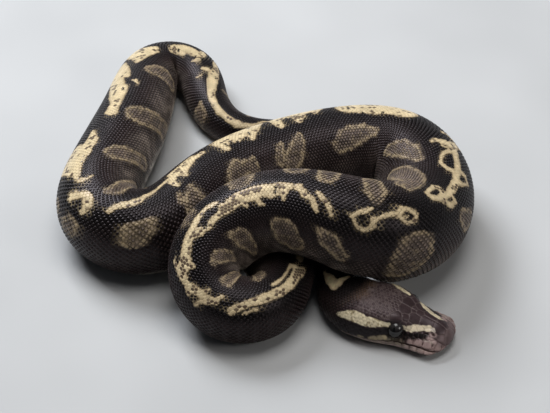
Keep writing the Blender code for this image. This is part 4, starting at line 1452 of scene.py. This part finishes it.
# floor, light and camera
studio = {
    "floorSize": 2600,
    "target": (2.6, -12.0, 8.5), "elevation": 41.0, "away": 509.0, "lens": 125.67,
    "world": (0.60, 0.64, 0.70), "worldStrength": 0.07,
    # name: place, what it points at, size, power, colour
    "lamps": {"back window": ((-330, 430, 560), (0, 0, 0), (420, 340), 7.5, (0.93, 0.96, 1.0)),
              "overhead": ((60, 60, 900), (0, 0, 0), (500, 500), 4.2, (1.0, 0.99, 0.97)),
              "side fill": ((560, -330, 430), (40, -30, 0), (260, 220), 1.0, (1.0, 0.97, 0.93))},
}


def pointAt(item, target):
    forward = np.array(target, float) - np.array(item.location) / mm
    flat = math.hypot(forward[0], forward[1])
    item.rotation_euler = (math.atan2(flat, -forward[2]), 0.0, math.atan2(-forward[0], forward[1]))


def makeFloor():
    half = studio["floorSize"] / 2 * mm
    mesh = bpy.data.meshes.new("floor")
    corners = [(-half, -half, 0), (half, -half, 0), (half, half, 0), (-half, half, 0)]
    mesh.from_pydata(corners, [], [(0, 1, 2, 3)])
    mesh.materials.append(finishes["floor"])
    floor = bpy.data.objects.new("floor", mesh)
    bpy.context.collection.objects.link(floor)


def makeLamps():
    for name, (place, target, size, power, colour) in studio["lamps"].items():
        lamp = bpy.data.lights.new(name, "AREA")
        lamp.shape = "RECTANGLE"
        lamp.size = size[0] * mm
        lamp.size_y = size[1] * mm
        lamp.energy = power
        lamp.color = colour
        item = bpy.data.objects.new(name, lamp)
        item.location = [value * mm for value in place]
        bpy.context.collection.objects.link(item)
        pointAt(item, target)


def makeWorld():
    world = bpy.data.worlds.new("soft studio")
    world.use_nodes = True
    sky = world.node_tree.nodes["Background"]
    sky.inputs["Color"].default_value = (*studio["world"], 1)
    sky.inputs["Strength"].default_value = studio["worldStrength"]
    bpy.context.scene.world = world


def makeCamera():
    view = bpy.data.cameras.new("camera")
    view.lens = studio["lens"]
    view.sensor_width = 36
    view.clip_start = 0.01
    camera = bpy.data.objects.new("camera", view)
    lift = math.radians(studio["elevation"])
    x, y, z = studio["target"]
    away = studio["away"]
    camera.location = (x * mm, (y - away * math.cos(lift)) * mm, (z + away * math.sin(lift)) * mm)
    bpy.context.collection.objects.link(camera)
    pointAt(camera, studio["target"])
    bpy.context.scene.camera = camera


makeFloor()
makeLamps()
makeWorld()
makeCamera()
bpy.context.scene.view_settings.view_transform = "Standard"
print("stage set")
